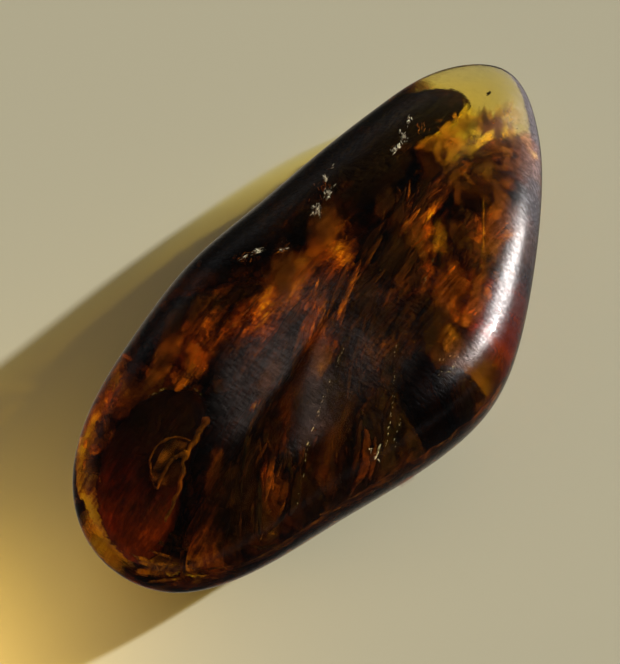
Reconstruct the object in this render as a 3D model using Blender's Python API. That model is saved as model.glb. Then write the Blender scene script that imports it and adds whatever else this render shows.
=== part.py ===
"""Polished amber pebble with bark and leaf debris sealed inside it.

Metres, +Z up. The pebble lies on its flat underside: the origin is the middle of its footprint,
+X runs along its length to the pale, thin tip, and +Y is the straighter, bark-filled flank.
The clear resin is one piece in nature. It is parted here by one slightly tilted plane, so that every
inclusion is a solid of its own in a pocket that opens on the parting face.
"""
import math

import bpy
import bmesh
import numpy as np

MM = 0.001

# The resin's widest plan, in mm, from the tip and counter-clockwise
PEBBLE_PLAN = [
    (32.7, 4.4), (29.9, 8.3), (22.1, 11.3), (10.1, 13.4), (3.1, 14.4), (-4.8, 15.6), (-13.3, 15.3),
    (-22.0, 14.0), (-28.8, 10.7), (-32.4, 5.4), (-32.1, -0.6), (-27.6, -5.8), (-17.7, -10.7),
    (-8.1, -14.4), (-0.4, -15.7), (7.2, -13.8), (14.9, -10.4), (22.4, -6.5), (28.7, -2.2)]

# The parting plane stands this high over the origin, and falls towards the tip
PARTING_HEIGHT = 6.6
PARTING_SLOPE = 0.055
# On the -Y flank the widest level lies this much over the parting plane, with a squarer shoulder
FLANK_LIFT = 4.0
FLANK_REACH, FLANK_POWER = 11.0, 1.5
# The polished top rises this much over the parting plane, less at the tip and a little less at the butt
DOME_HEIGHT = 10.2
TIP_LOSS, TIP_LOSS_START, TIP_LOSS_POWER = 0.46, 0.42, 1.8
BUTT_LOSS, BUTT_LOSS_END, BUTT_LOSS_POWER = 0.10, 0.30, 1.5
PEBBLE_LENGTH = 64.0
# The flat that it rests on, as a share of the plan
FLAT_SHARE = 0.5
# Superellipse powers of the top across the plan, what the shoulder adds, and of the top upwards
TOP_SPREAD, FLANK_SPREAD, TOP_RISE = 2.5, 5.0, 2.15

PEBBLE_SEGMENTS, TOP_RINGS, UNDERSIDE_RINGS = 88, 13, 8
PARTING_GAP = 0.3
POCKET_GAP = 0.35

# Flat-lying inclusions: plan in mm, counter-clockwise, and heights over and under the parting plane
BARK_FLAKE = dict(
    plan=[(24.4, 7.6), (20.9, 9.2), (15.1, 10.9), (8.0, 12.0), (-0.5, 13.2), (-5.4, 12.6),
          (-3.6, 10.6), (-1.5, 8.7), (1.7, 6.9), (6.1, 5.2), (9.8, 4.1), (13.4, 3.4), (16.6, 3.6),
          (20.1, 3.6), (23.4, 3.5), (25.4, 4.4), (25.7, 6.0)],
    up=4.1, down=2.0, segments=36, colour=(0.020, 0.009, 0.005))
BARK_SCALE = dict(
    plan=[(-15.2, 5.6), (-15.8, 7.5), (-17.8, 9.0), (-21.0, 9.4), (-24.7, 8.9), (-28.0, 7.0),
          (-30.0, 4.2), (-30.0, 1.9), (-27.3, 0.9), (-23.3, 1.9), (-18.6, 3.4)],
    up=3.4, down=2.2, segments=28, colour=(0.045, 0.010, 0.005))
LEAF_LITTER = dict(
    plan=[(19.3, 0.2), (17.4, 1.8), (13.0, 2.0), (9.0, 2.6), (5.0, 4.0), (1.0, 5.6), (-2.6, 7.4),
          (-5.2, 9.6), (-7.4, 11.3), (-10.6, 12.0), (-13.8, 11.4), (-14.3, 9.0), (-13.6, 6.6),
          (-14.0, 4.3), (-16.4, 2.8), (-20.5, 1.4), (-25.0, -0.3), (-28.2, -1.3), (-27.6, -3.0),
          (-24.4, -4.4), (-20.6, -6.4), (-15.8, -8.9), (-11.0, -11.2), (-8.0, -11.6),
          (-6.8, -9.6), (-5.0, -7.9), (-2.2, -7.3), (0.9, -8.3), (3.0, -9.0), (4.6, -8.2),
          (5.2, -6.0), (8.0, -3.4), (11.6, -1.2), (15.0, -1.4), (18.0, -1.0)],
    up=5.0, down=2.9, segments=64, colour=(0.060, 0.018, 0.008))
BARK_CHIP = dict(
    plan=[(-0.4, -10.0), (-2.6, -8.9), (-5.0, -9.4), (-5.6, -11.4), (-4.4, -12.8), (-2.0, -13.0),
          (0.2, -12.0)],
    up=4.4, down=1.6, segments=16, colour=(0.012, 0.007, 0.005))
LEAF_FOLD = dict(
    plan=[(14.3, -3.0), (12.7, -2.2), (9.2, -4.2), (6.4, -6.4), (6.0, -7.8), (7.6, -8.4),
          (11.0, -6.4), (14.2, -4.4)],
    up=4.4, down=1.8, segments=18, colour=(0.040, 0.012, 0.006))
RESIN_CLOT = dict(
    plan=[(22.9, 0.1), (22.1, 1.1), (20.8, 0.9), (20.5, -0.3), (21.4, -1.1), (22.5, -0.8)],
    up=2.4, down=1.2, segments=12, colour=(0.030, 0.013, 0.007))

# Small crumbs: name, middle of the plan in mm, longest radius, and height over the parting plane
CRUMBS = [("crumb_tip", (27.6, 3.5), 0.75, 1.0), ("crumb_pale", (26.8, 1.2), 0.60, 1.4),
          ("crumb_side", (11.6, -8.4), 0.80, 2.2)]
CRUMB_WIDTH_SHARE = 0.7
CRUMB_SEGMENTS = 10
CRUMB_COLOUR = (0.018, 0.010, 0.006)

# The forked twig over the bark scale: its outline in plan, its underside and its thickness, in mm
TWIG_PLAN = [(-18.7, 3.55), (-21.9, 3.20), (-25.9, 3.75), (-25.9, 3.25), (-22.8, 2.70),
             (-27.6, 1.25), (-27.5, 0.75), (-21.7, 2.45), (-18.7, 3.05)]
TWIG_ROOM = [(-18.1, 3.3), (-21.9, 3.9), (-26.0, 4.5), (-27.1, 3.2), (-28.3, 1.1), (-27.4, 0.1),
             (-21.7, 1.8)]
TWIG_ROOM_SEGMENTS = 20
TWIG_UNDERSIDE, TWIG_THICKNESS = 12.0, 0.5
TWIG_COLOUR = (0.180, 0.080, 0.020)

LENS_SPREAD, LENS_RISE = 2.4, 2.2
LENS_RINGS_UP, LENS_RINGS_DOWN = 4, 3

SHARP_ANGLE = math.radians(40)
MERGE_DISTANCE = 0.000001

RESIN_COLOUR = (0.72, 0.30, 0.03)
RESIN_IOR = 1.54


def clear_scene():
    for obj in list(bpy.data.objects):
        bpy.data.objects.remove(obj, do_unlink=True)


def closed_curve(points, count):
    """A natural cubic spline through a closed ring of points, read at count even steps of chord."""
    ring = np.array(points, float)
    n = len(ring)
    chord = np.linalg.norm(np.roll(ring, -1, 0) - ring, axis=1)
    system, right = np.zeros((n, n)), np.zeros((n, 2))
    for k in range(n):
        system[k, k - 1] += chord[k - 1]
        system[k, k] += 2 * (chord[k - 1] + chord[k])
        system[k, (k + 1) % n] += chord[k]
        right[k] = 6 * ((ring[(k + 1) % n] - ring[k]) / chord[k]
                        - (ring[k] - ring[k - 1]) / chord[k - 1])
    bend = np.linalg.solve(system, right)
    ends = np.concatenate([[0.0], np.cumsum(chord)])
    along = np.linspace(0.0, ends[-1], count, endpoint=False)
    k = np.clip(np.searchsorted(ends, along, "right") - 1, 0, n - 1)
    after = (k + 1) % n
    b = ((along - ends[k]) / chord[k])[:, None]
    a = 1.0 - b
    sag = ((a ** 3 - a) * bend[k] + (b ** 3 - b) * bend[after]) * (chord[k] ** 2 / 6)[:, None]
    return a * ring[k] + b * ring[after] + sag


def grown(outline, gap):
    """The outline moved outwards by gap, along its own normals."""
    along = np.roll(outline, -1, 0) - np.roll(outline, 1, 0)
    outwards = np.column_stack([along[:, 1], -along[:, 0]])
    return outline + gap * outwards / np.linalg.norm(outwards, axis=1)[:, None]


def parting_level(x):
    return PARTING_HEIGHT - PARTING_SLOPE * x


def dome_rise(x):
    share = np.clip(x / PEBBLE_LENGTH + 0.5, 0, 1)
    tip = np.clip((share - TIP_LOSS_START) / (1 - TIP_LOSS_START), 0, 1) ** TIP_LOSS_POWER
    butt = np.clip((BUTT_LOSS_END - share) / BUTT_LOSS_END, 0, 1) ** BUTT_LOSS_POWER
    return DOME_HEIGHT * (1 - TIP_LOSS * tip - BUTT_LOSS * butt)


def quarter(count):
    """Angles that step through a quarter turn, without its start."""
    return [math.pi / 2 * k / count for k in range(1, count + 1)]


def power_wave(value, power):
    return max(value, 0.0) ** (2 / power)


def flank_share(outline):
    """0 on the +Y side and the ends, easing to 1 along the -Y flank."""
    share = np.clip(-outline[:, 1] / FLANK_REACH, 0, 1) ** FLANK_POWER
    return share * share * (3 - 2 * share)


def pebble_rings(outline):
    """Rings of the whole pebble, from near its crown down to the resting flat."""
    flank = flank_share(outline)
    spread = TOP_SPREAD + FLANK_SPREAD * flank
    rings = []
    for turn in quarter(TOP_RINGS):
        plan = outline * (math.sin(turn) ** (2 / spread))[:, None]
        share = power_wave(math.cos(turn), TOP_RISE)
        rise = dome_rise(plan[:, 0]) * share + FLANK_LIFT * flank * (1 - share)
        rings.append(np.column_stack([plan, parting_level(plan[:, 0]) + rise]))
    for turn in quarter(UNDERSIDE_RINGS):
        plan = outline * (FLAT_SHARE + (1 - FLAT_SHARE) * math.cos(turn))
        widest = parting_level(plan[:, 0]) + FLANK_LIFT * flank
        rings.append(np.column_stack([plan, widest * (1 - math.sin(turn))]))
    return rings


def lens_rings(outline, up, down):
    """Rings of a flat-lying lens about the parting plane, from its top to its underside."""
    middle = outline.mean(0)
    steps = [(turn, up) for turn in quarter(LENS_RINGS_UP)]
    steps += [(turn, -down) for turn in reversed(quarter(LENS_RINGS_DOWN)[:-1])]
    rings = []
    for turn, height in steps:
        plan = middle + (outline - middle) * power_wave(math.sin(turn), LENS_SPREAD)
        rise = height * power_wave(math.cos(turn), LENS_RISE)
        rings.append(np.column_stack([plan, parting_level(plan[:, 0]) + rise]))
    return rings


def add_loop(bm, points):
    """One closed loop of edges through the points, given in mm."""
    corners = [bm.verts.new([float(c) * MM for c in point]) for point in points]
    return [bm.edges.new((corners[k - 1], corners[k])) for k in range(len(corners))]


def loft(name, rings, colour, round_ends=(True, True)):
    """A closed solid through rings of points, bridged loop to loop and capped at both ends."""
    bm = bmesh.new()
    loops = [add_loop(bm, ring) for ring in rings]
    for first, second in zip(loops, loops[1:]):
        bmesh.ops.bridge_loops(bm, edges=first + second)
    for loop, is_round in zip((loops[0], loops[-1]), round_ends):
        cap = bmesh.ops.contextual_create(bm, geom=loop)["faces"]
        if is_round:
            bmesh.ops.poke(bm, faces=cap)
    bmesh.ops.recalc_face_normals(bm, faces=bm.faces)
    return add_object(name, bm, colour)


def add_object(name, bm, colour):
    mesh = bpy.data.meshes.new(name)
    bm.to_mesh(mesh)
    bm.free()
    mesh.shade_smooth()
    mesh.set_sharp_from_angle(angle=SHARP_ANGLE)
    mesh.materials.append(debris_material(name, colour) if colour else resin_material())
    obj = bpy.data.objects.new(name, mesh)
    bpy.context.scene.collection.objects.link(obj)
    return obj


def resin_material():
    material = bpy.data.materials.get("clear_resin")
    if material is None:
        material = bpy.data.materials.new("clear_resin")
        material.use_nodes = True
        shader = material.node_tree.nodes["Principled BSDF"]
        shader.inputs["Base Color"].default_value = (*RESIN_COLOUR, 1)
        shader.inputs["Roughness"].default_value = 0.06
        shader.inputs["IOR"].default_value = RESIN_IOR
        shader.inputs["Transmission Weight"].default_value = 1.0
        shader.inputs["Metallic"].default_value = 0.0
    return material


def debris_material(name, colour):
    material = bpy.data.materials.new(name)
    material.use_nodes = True
    shader = material.node_tree.nodes["Principled BSDF"]
    shader.inputs["Base Color"].default_value = (*colour, 1)
    shader.inputs["Roughness"].default_value = 0.7
    shader.inputs["Metallic"].default_value = 0.0
    return material


def keep_half(half, upper):
    """Cuts the pebble at the parting plane, keeps one half and closes it with a flat face."""
    side = 1 if upper else -1
    height = PARTING_HEIGHT + side * PARTING_GAP / 2
    bm = bmesh.new()
    bm.from_mesh(half.data)
    cut = bmesh.ops.bisect_plane(
        bm, geom=bm.verts[:] + bm.edges[:] + bm.faces[:], dist=MERGE_DISTANCE,
        plane_co=(0, 0, height * MM), plane_no=(PARTING_SLOPE, 0, 1),
        clear_inner=upper, clear_outer=not upper)
    rim = [part for part in cut["geom_cut"] if isinstance(part, bmesh.types.BMEdge)]
    bmesh.ops.contextual_create(bm, geom=rim)
    bmesh.ops.recalc_face_normals(bm, faces=bm.faces)
    bm.to_mesh(half.data)
    bm.free()
    half.data.set_sharp_from_angle(angle=SHARP_ANGLE)
    return half


def make_amber_halves():
    """The clear resin above and below the parting plane, with half of the parting gap each."""
    outline = closed_curve(PEBBLE_PLAN, PEBBLE_SEGMENTS)
    outline -= (outline.max(0) + outline.min(0)) / 2
    rings = pebble_rings(outline)
    halves = [loft(name, rings, None, round_ends=(True, False))
              for name in ("amber_upper", "amber_lower")]
    return [keep_half(halves[0], True), keep_half(halves[1], False)]


def hide_cutter(cutter):
    cutter.hide_render = True
    cutter.display_type = "WIRE"


def cut_pocket(halves, cutter):
    hide_cutter(cutter)
    for half in halves:
        pocket = half.modifiers.new(cutter.name, "BOOLEAN")
        pocket.operation = "DIFFERENCE"
        pocket.solver = "EXACT"
        pocket.object = cutter


def make_inclusion(name, halves, plan, up, down, segments, colour):
    """A lens of debris and the slightly larger pocket that it lies in."""
    outline = closed_curve(plan, segments)
    loft(name, lens_rings(outline, up, down), colour)
    roomy = lens_rings(grown(outline, POCKET_GAP), up + POCKET_GAP, down + POCKET_GAP)
    cut_pocket(halves, loft(name + "_pocket", roomy, colour))


def crumb_plan(middle, radius):
    """A lopsided egg about the middle, as six points of its plan."""
    turns = np.arange(6) * math.pi / 3
    reach = radius * (1 + 0.15 * np.cos(turns + middle[0]))
    return np.column_stack([middle[0] + reach * np.cos(turns),
                            middle[1] + CRUMB_WIDTH_SHARE * reach * np.sin(turns)])


def slab_rings(plan, top, bottom):
    """The plan at two heights, each a number or one number for every point."""
    return [np.column_stack([plan, np.broadcast_to(height, len(plan))]) for height in (top, bottom)]


def make_twig(halves):
    """The forked twig, and its pocket: a slot around it, down to the bark scale's pocket."""
    top = TWIG_UNDERSIDE + TWIG_THICKNESS
    twig = slab_rings(np.array(TWIG_PLAN), top, TWIG_UNDERSIDE)
    loft("twig_fork", twig, TWIG_COLOUR, round_ends=(False, False))
    room = closed_curve(TWIG_ROOM, TWIG_ROOM_SEGMENTS)
    slot = slab_rings(room, top + POCKET_GAP, parting_level(room[:, 0]) - PARTING_GAP)
    cut_pocket(halves[:1], loft("twig_fork_pocket", slot, TWIG_COLOUR, round_ends=(False, False)))


def main():
    clear_scene()
    halves = make_amber_halves()
    make_inclusion("bark_flake", halves, **BARK_FLAKE)
    make_inclusion("bark_scale", halves, **BARK_SCALE)
    make_inclusion("leaf_litter", halves, **LEAF_LITTER)
    make_inclusion("bark_chip", halves, **BARK_CHIP)
    make_inclusion("leaf_fold", halves, **LEAF_FOLD)
    make_inclusion("resin_clot", halves, **RESIN_CLOT)
    for name, middle, radius, up in CRUMBS:
        make_inclusion(name, halves, crumb_plan(middle, radius), up, radius, CRUMB_SEGMENTS,
                       CRUMB_COLOUR)
    make_twig(halves)


main()
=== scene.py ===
# %% [markdown]
# # A polished piece of amber with bark sealed inside
#
# Amber is tree resin that has turned to a clear, golden stone. This piece is a long pebble, thick at
# its butt and thin at its tip, and it is full of bark, leaf crumbs and a forked twig. Light goes in
# through the polish, loses its blue and then its green on the way, meets the debris, and comes back
# gold, orange or dark red by the depth that it has crossed. So this lesson builds a clear body that
# really bends and absorbs light, and real debris inside it, and paints nothing on the outside.

# %% The fixed frame
import math

import bpy
import numpy as np
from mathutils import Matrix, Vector


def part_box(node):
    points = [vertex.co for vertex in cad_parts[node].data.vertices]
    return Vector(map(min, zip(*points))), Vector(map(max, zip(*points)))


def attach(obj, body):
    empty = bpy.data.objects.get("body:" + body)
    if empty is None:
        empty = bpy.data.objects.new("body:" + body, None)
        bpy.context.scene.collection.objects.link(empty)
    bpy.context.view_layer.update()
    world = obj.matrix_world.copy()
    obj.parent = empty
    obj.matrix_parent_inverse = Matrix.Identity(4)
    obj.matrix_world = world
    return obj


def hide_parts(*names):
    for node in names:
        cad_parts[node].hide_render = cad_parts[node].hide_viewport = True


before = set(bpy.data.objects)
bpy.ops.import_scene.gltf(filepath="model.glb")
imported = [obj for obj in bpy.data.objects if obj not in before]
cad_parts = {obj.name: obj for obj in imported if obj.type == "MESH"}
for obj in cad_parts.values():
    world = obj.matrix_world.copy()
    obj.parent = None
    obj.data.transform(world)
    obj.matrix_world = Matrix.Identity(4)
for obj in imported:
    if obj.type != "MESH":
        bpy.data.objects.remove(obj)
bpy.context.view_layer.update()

MM = 0.001

# %% [markdown]
# ## The camera
#
# The camera stands at the thick end and looks down steeply. A long lens keeps the outline from
# spreading. The camera is set by an angle round the piece, an angle above the
# table and a distance, which are easier to judge from a picture than three coordinates are.

# %% Camera
CAMERA_TURN, CAMERA_RISE = math.radians(-55.5), math.radians(62)
CAMERA_REACH, CAMERA_LENS = 220 * MM, 129.4
CAMERA_TARGET = Vector((-3.17, 2.80, 7.0)) * MM


def add_camera():
    back = Vector((math.sin(CAMERA_TURN) * math.cos(CAMERA_RISE),
                   -math.cos(CAMERA_TURN) * math.cos(CAMERA_RISE), math.sin(CAMERA_RISE)))
    camera = bpy.data.objects.new("camera", bpy.data.cameras.new("camera"))
    camera.data.lens, camera.data.sensor_width = CAMERA_LENS, 36
    camera.data.clip_start, camera.data.clip_end = 1 * MM, 20
    camera.location = CAMERA_TARGET + back * CAMERA_REACH
    camera.rotation_mode = "QUATERNION"
    camera.rotation_quaternion = (-back).to_track_quat("-Z", "Y")
    bpy.context.scene.collection.objects.link(camera)
    bpy.context.scene.camera = camera
    return camera


print("camera at", [round(c / MM, 1) for c in add_camera().location], "mm")

# %% [markdown]
# ## Curves, grids and soft random relief
#
# Every new piece here is a grid of points worked out at once with numpy. A few helpers are enough:
# one draws a smooth closed curve through some points, one makes gentle random hills from plane
# waves, and one turns stacks of rings into closed meshes with a point at each end.

# %% Helpers: curves, hills, rings and closed meshes
def closed_curve(points, count):
    """A natural cubic spline through a closed ring of points, read at count even steps of chord."""
    ring = np.array(points, float)
    n = len(ring)
    chord = np.linalg.norm(np.roll(ring, -1, 0) - ring, axis=1)
    system, right = np.zeros((n, n)), np.zeros((n, ring.shape[1]))
    for k in range(n):
        system[k, k - 1] += chord[k - 1]
        system[k, k] += 2 * (chord[k - 1] + chord[k])
        system[k, (k + 1) % n] += chord[k]
        right[k] = 6 * ((ring[(k + 1) % n] - ring[k]) / chord[k]
                        - (ring[k] - ring[k - 1]) / chord[k - 1])
    bend = np.linalg.solve(system, right)
    ends = np.concatenate([[0.0], np.cumsum(chord)])
    along = np.linspace(0.0, ends[-1], count, endpoint=False)
    k = np.clip(np.searchsorted(ends, along, "right") - 1, 0, n - 1)
    after = (k + 1) % n
    b = ((along - ends[k]) / chord[k])[:, None]
    a = 1.0 - b
    sag = ((a ** 3 - a) * bend[k] + (b ** 3 - b) * bend[after]) * (chord[k] ** 2 / 6)[:, None]
    return a * ring[k] + b * ring[after] + sag


def hills(x, y, size, seed, octaves=4, stretch=1.0, waves=14):
    """Random relief of about -1 to 1: plane waves at random turns, summed. Each octave has half the
    wavelength and half the height of the one before. A stretch over 1 draws the hills out along X."""
    rng = np.random.default_rng(seed)
    total, height = np.zeros(np.broadcast(x, y).shape), 1.0
    for octave in range(octaves):
        turns, phases = rng.uniform(0, 2 * np.pi, (2, waves))
        pace = 2 * np.pi / size * 2 ** octave
        across = pace * (x[..., None] / stretch * np.cos(turns) + y[..., None] * np.sin(turns))
        total += height * math.sqrt(2 / waves) * np.cos(across + phases).sum(-1) / 1.6
        height *= 0.5
    return total


def ring_faces(pieces, count, segments):
    """Corner numbers for pieces of count rings each, every piece stored as a first pole, its rings
    and a last pole. Faces point out where rings turn counter-clockwise and go from top to bottom."""
    size = count * segments + 2
    start = (np.arange(pieces) * size)[:, None, None]
    here = start + 1 + np.arange(count * segments).reshape(count, segments)
    beside = np.roll(here, -1, 2)
    quads = np.stack([here[:, :-1], here[:, 1:], beside[:, 1:], beside[:, :-1]], -1).reshape(-1, 4)
    first = np.broadcast_to(start[:, 0], (pieces, segments))
    top = np.stack([first, here[:, 0], beside[:, 0]], -1).reshape(-1, 3)
    bottom = np.stack([first + size - 1, beside[:, -1], here[:, -1]], -1).reshape(-1, 3)
    return [top, quads, bottom]


def ring_mesh(name, rings, first, last, tones=None):
    """Closed bodies, joined in one mesh, from rings of points in mm shaped body by ring by segment."""
    pieces, count, segments = rings.shape[:3]
    points = np.concatenate([first[:, None], rings.reshape(pieces, -1, 3), last[:, None]], 1)
    piece = solid(name, points.reshape(-1, 3) * MM, ring_faces(pieces, count, segments))
    if tones is not None:
        tones = tones.reshape(pieces, -1)
        whole = np.concatenate([tones[:, :1], tones, tones[:, -1:]], 1)
        add_values(piece, "tone", whole)
    return piece


def add_values(piece, name, values):
    layer = piece.data.attributes.new(name, "FLOAT", "POINT")
    layer.data.foreach_set("value", values.astype(np.float32).ravel())


def solid(name, points, face_sets):
    """A mesh object from points in metres and arrays of faces, each array with its own corner count."""
    mesh = bpy.data.meshes.new(name)
    corners = np.concatenate([faces.ravel() for faces in face_sets])
    sizes = np.concatenate([np.full(len(faces), faces.shape[1]) for faces in face_sets])
    mesh.vertices.add(len(points))
    mesh.vertices.foreach_set("co", points.astype(np.float32).ravel())
    mesh.loops.add(len(corners))
    mesh.loops.foreach_set("vertex_index", corners.astype(np.int32))
    mesh.polygons.add(len(sizes))
    mesh.polygons.foreach_set("loop_start", (np.cumsum(sizes) - sizes).astype(np.int32))
    mesh.update(calc_edges=True)
    mesh.validate()
    mesh.shade_smooth()
    piece = bpy.data.objects.new(name, mesh)
    bpy.context.scene.collection.objects.link(piece)
    return piece


def settle(piece, material, slot, *nodes):
    """Gives a piece its material, its body and the CAD nodes that it stands for. The slot is not used."""
    piece.data.materials.append(material)
    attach(piece, "root")
    if nodes:
        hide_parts(*nodes)
    print(f"{piece.name}: {len(piece.data.polygons)} faces")
    return piece


square = closed_curve([(1, 0), (0, 1), (-1, 0), (0, -1)], 64)
print("a curve through four corners of a square has radii from %.3f to %.3f"
      % tuple(f(np.linalg.norm(square, axis=1)) for f in (np.min, np.max)))


# %% [markdown]
# ## The clear body
#
# The pebble is one formula. Its plan is a smooth curve through nineteen points. The top rises as a
# superellipse, which is flatter than a dome and turns down faster at the rim, as hand polishing
# leaves it. Along one flank the shoulder stands higher and squarer, and the highlight
# lies on it as a long streak. Underneath, the pebble rounds in to the flat that it lies on.

# %% Shape of the pebble
PEBBLE_PLAN = [
    (32.7, 4.4), (29.9, 8.3), (22.1, 11.3), (10.1, 13.4), (3.1, 14.4), (-4.8, 15.6), (-13.3, 15.3),
    (-22.0, 14.0), (-28.8, 10.7), (-32.4, 5.4), (-32.1, -0.6), (-27.6, -5.8), (-17.7, -10.7),
    (-8.1, -14.4), (-0.4, -15.7), (7.2, -13.8), (14.9, -10.4), (22.4, -6.5), (28.7, -2.2)]
LEVEL_HEIGHT, LEVEL_SLOPE, PEBBLE_LENGTH, DOME_HEIGHT = 6.6, 0.055, 64.0, 10.2
TIP_LOSS, TIP_LOSS_START, TIP_LOSS_POWER = 0.46, 0.42, 1.8
BUTT_LOSS, BUTT_LOSS_END, BUTT_LOSS_POWER = 0.10, 0.30, 1.5
FLANK_LIFT, FLANK_REACH, FLANK_POWER = 4.0, 11.0, 1.5
FLAT_SHARE, TOP_SPREAD, FLANK_SPREAD, TOP_RISE = 0.5, 2.5, 5.0, 2.15
PEBBLE_SEGMENTS, TOP_RINGS, UNDERSIDE_RINGS = 320, 84, 40
# Hand polishing leaves slow waves of this depth and length, in mm
POLISH_DEPTH, POLISH_LENGTH = 0.08, 9.0
# The smooth body stays this much inside the coarser CAD solid
PLAN_FIT, HEIGHT_FIT = 0.9975, 0.03


def middle_level(x):
    """Height of the slightly tilted plane that the piece is built about."""
    return LEVEL_HEIGHT - LEVEL_SLOPE * x


def dome_rise(x):
    share = np.clip(x / PEBBLE_LENGTH + 0.5, 0, 1)
    tip = np.clip((share - TIP_LOSS_START) / (1 - TIP_LOSS_START), 0, 1) ** TIP_LOSS_POWER
    butt = np.clip((BUTT_LOSS_END - share) / BUTT_LOSS_END, 0, 1) ** BUTT_LOSS_POWER
    return DOME_HEIGHT * (1 - TIP_LOSS * tip - BUTT_LOSS * butt)


def pebble_outline(count):
    outline = closed_curve(PEBBLE_PLAN, count)
    return PLAN_FIT * (outline - (outline.max(0) + outline.min(0)) / 2)


def flank_share(outline):
    share = np.clip(-outline[:, 1] / FLANK_REACH, 0, 1) ** FLANK_POWER
    return share * share * (3 - 2 * share)


def pebble_rings():
    """Rings from the crown to the resting flat. On top, with s the share of the plan, the height is
    the dome's times (1 - s ** spread) ** (1 / rise), plus the flank's lift times what is left. Under
    the widest ring the plan shrinks with the cosine of an angle and the height with its sine."""
    outline = pebble_outline(PEBBLE_SEGMENTS)
    flank = flank_share(outline)
    turn = (np.arange(1, TOP_RINGS + 1) / TOP_RINGS * np.pi / 2)[:, None]
    share = np.sin(turn) ** (2 / 3)
    x, y = outline[:, 0] * share, outline[:, 1] * share
    up = np.clip(1 - share ** (TOP_SPREAD + FLANK_SPREAD * flank), 0, 1) ** (1 / TOP_RISE)
    z = middle_level(x) + dome_rise(x) * up + FLANK_LIFT * flank * (1 - up)
    hollow = POLISH_DEPTH * (0.5 + 0.5 * np.clip(hills(x, y, POLISH_LENGTH, 3, 2), -1, 1))
    top = np.stack([x, y, z - (HEIGHT_FIT + hollow) * np.cos(turn)], -1)
    turn = (np.arange(1, UNDERSIDE_RINGS + 1) / UNDERSIDE_RINGS * np.pi / 2)[:, None]
    share = FLAT_SHARE + (1 - FLAT_SHARE) * np.cos(turn)
    x, y = outline[:, 0] * share, outline[:, 1] * share
    z = (middle_level(x) + FLANK_LIFT * flank) * (1 - np.sin(turn))
    return np.concatenate([top, np.stack([x, y, z], -1)])[None]


rings = pebble_rings()
crown = np.array([[0.0, 0.0, rings[0, 0, :, 2].mean()]])
pebble = ring_mesh("amber", rings, crown, np.zeros((1, 3)))
print("pebble in mm:", [round(float(c) / MM, 2) for c in pebble.dimensions])

# %% [markdown]
# ## Fossil resin
#
# The resin has no paint at all. Its surface is clear glass with amber's bending of light, and its
# colour comes from absorption inside, so that the thin tip is pale lemon and the thick butt deep
# orange. Shadow rays go straight through the surface, because bent ones would leave the debris
# black, and they still lose colour on their way. A thin coat with a rougher gloss gives the soft
# halo that years of handling leave round each highlight.

# %% Resin
def group_socket(group, name, direction, kind, value=None):
    socket = group.interface.new_socket(name=name, in_out=direction, socket_type=kind)
    if value is not None:
        socket.default_value = value
    return socket


def maths(tree, operation, first, second=None):
    """A Math node; each of its two inputs is a number or a socket to link."""
    node = tree.nodes.new("ShaderNodeMath")
    node.operation = operation
    for k, value in enumerate((first, second)):
        if isinstance(value, (int, float)):
            node.inputs[k].default_value = value
        elif value is not None:
            tree.links.new(value, node.inputs[k])
    return node.outputs[0]


RESIN_IOR = 1.54
RESIN_ROUGHNESS = 0.03
# What a metre of the resin lets through: its absorption is (1 - colour) times the density
RESIN_ABSORPTION, RESIN_DENSITY = (0.95, 0.84, 0.15), 230.0
HALO_LEAST, HALO_MOST, HALO_ROUGHNESS = 0.0, 1.0, 0.10
SCRATCHES_PER_METRE = 3800.0
# How deep the marks bump the polish itself
POLISH_SCRATCH = 0.020 * MM
# Between these two strengths of its noise a mark goes from none to full
MARK_STARTS, MARK_FULL = 0.46, 0.62
# A straight shadow ray stands for light that is really bent away: this share of it passes a surface
SHADOW_SHARE_BODY, SHADOW_SHARE_TIP = 0.42, 0.95
TIP_SHARE_START, TIP_SHARE_END = 14 * MM, 24 * MM


def hand_wear_group():
    """Fine crossing marks from noise drawn out along one direction. They set how much of the rough gloss
    shows, and a height for its own bump, so that highlights break up at their edges."""
    group = bpy.data.node_groups.new("hand_wear", "ShaderNodeTree")
    group_socket(group, "Marks per metre", "INPUT", "NodeSocketFloat", SCRATCHES_PER_METRE)
    group_socket(group, "Least", "INPUT", "NodeSocketFloat", HALO_LEAST)
    group_socket(group, "Most", "INPUT", "NodeSocketFloat", HALO_MOST)
    group_socket(group, "Weight", "OUTPUT", "NodeSocketFloat")
    group_socket(group, "Height", "OUTPUT", "NodeSocketFloat")
    given, made = group.nodes.new("NodeGroupInput"), group.nodes.new("NodeGroupOutput")
    place = group.nodes.new("ShaderNodeTexCoord")
    across = group.nodes.new("ShaderNodeMapping")
    across.inputs["Rotation"].default_value = (0, 0, math.radians(35))
    across.inputs["Scale"].default_value = (1.0, 0.30, 1.0)
    marks = group.nodes.new("ShaderNodeTexNoise")
    marks.inputs["Detail"].default_value = 2
    spread = group.nodes.new("ShaderNodeMapRange")
    spread.inputs["From Min"].default_value = MARK_STARTS
    spread.inputs["From Max"].default_value = MARK_FULL
    group.links.new(place.outputs["Object"], across.inputs["Vector"])
    group.links.new(across.outputs["Vector"], marks.inputs["Vector"])
    group.links.new(given.outputs["Marks per metre"], marks.inputs["Scale"])
    group.links.new(marks.outputs["Fac"], spread.inputs["Value"])
    group.links.new(given.outputs["Least"], spread.inputs["To Min"])
    group.links.new(given.outputs["Most"], spread.inputs["To Max"])
    group.links.new(spread.outputs["Result"], made.inputs["Weight"])
    group.links.new(marks.outputs["Fac"], made.inputs["Height"])
    return group


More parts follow.
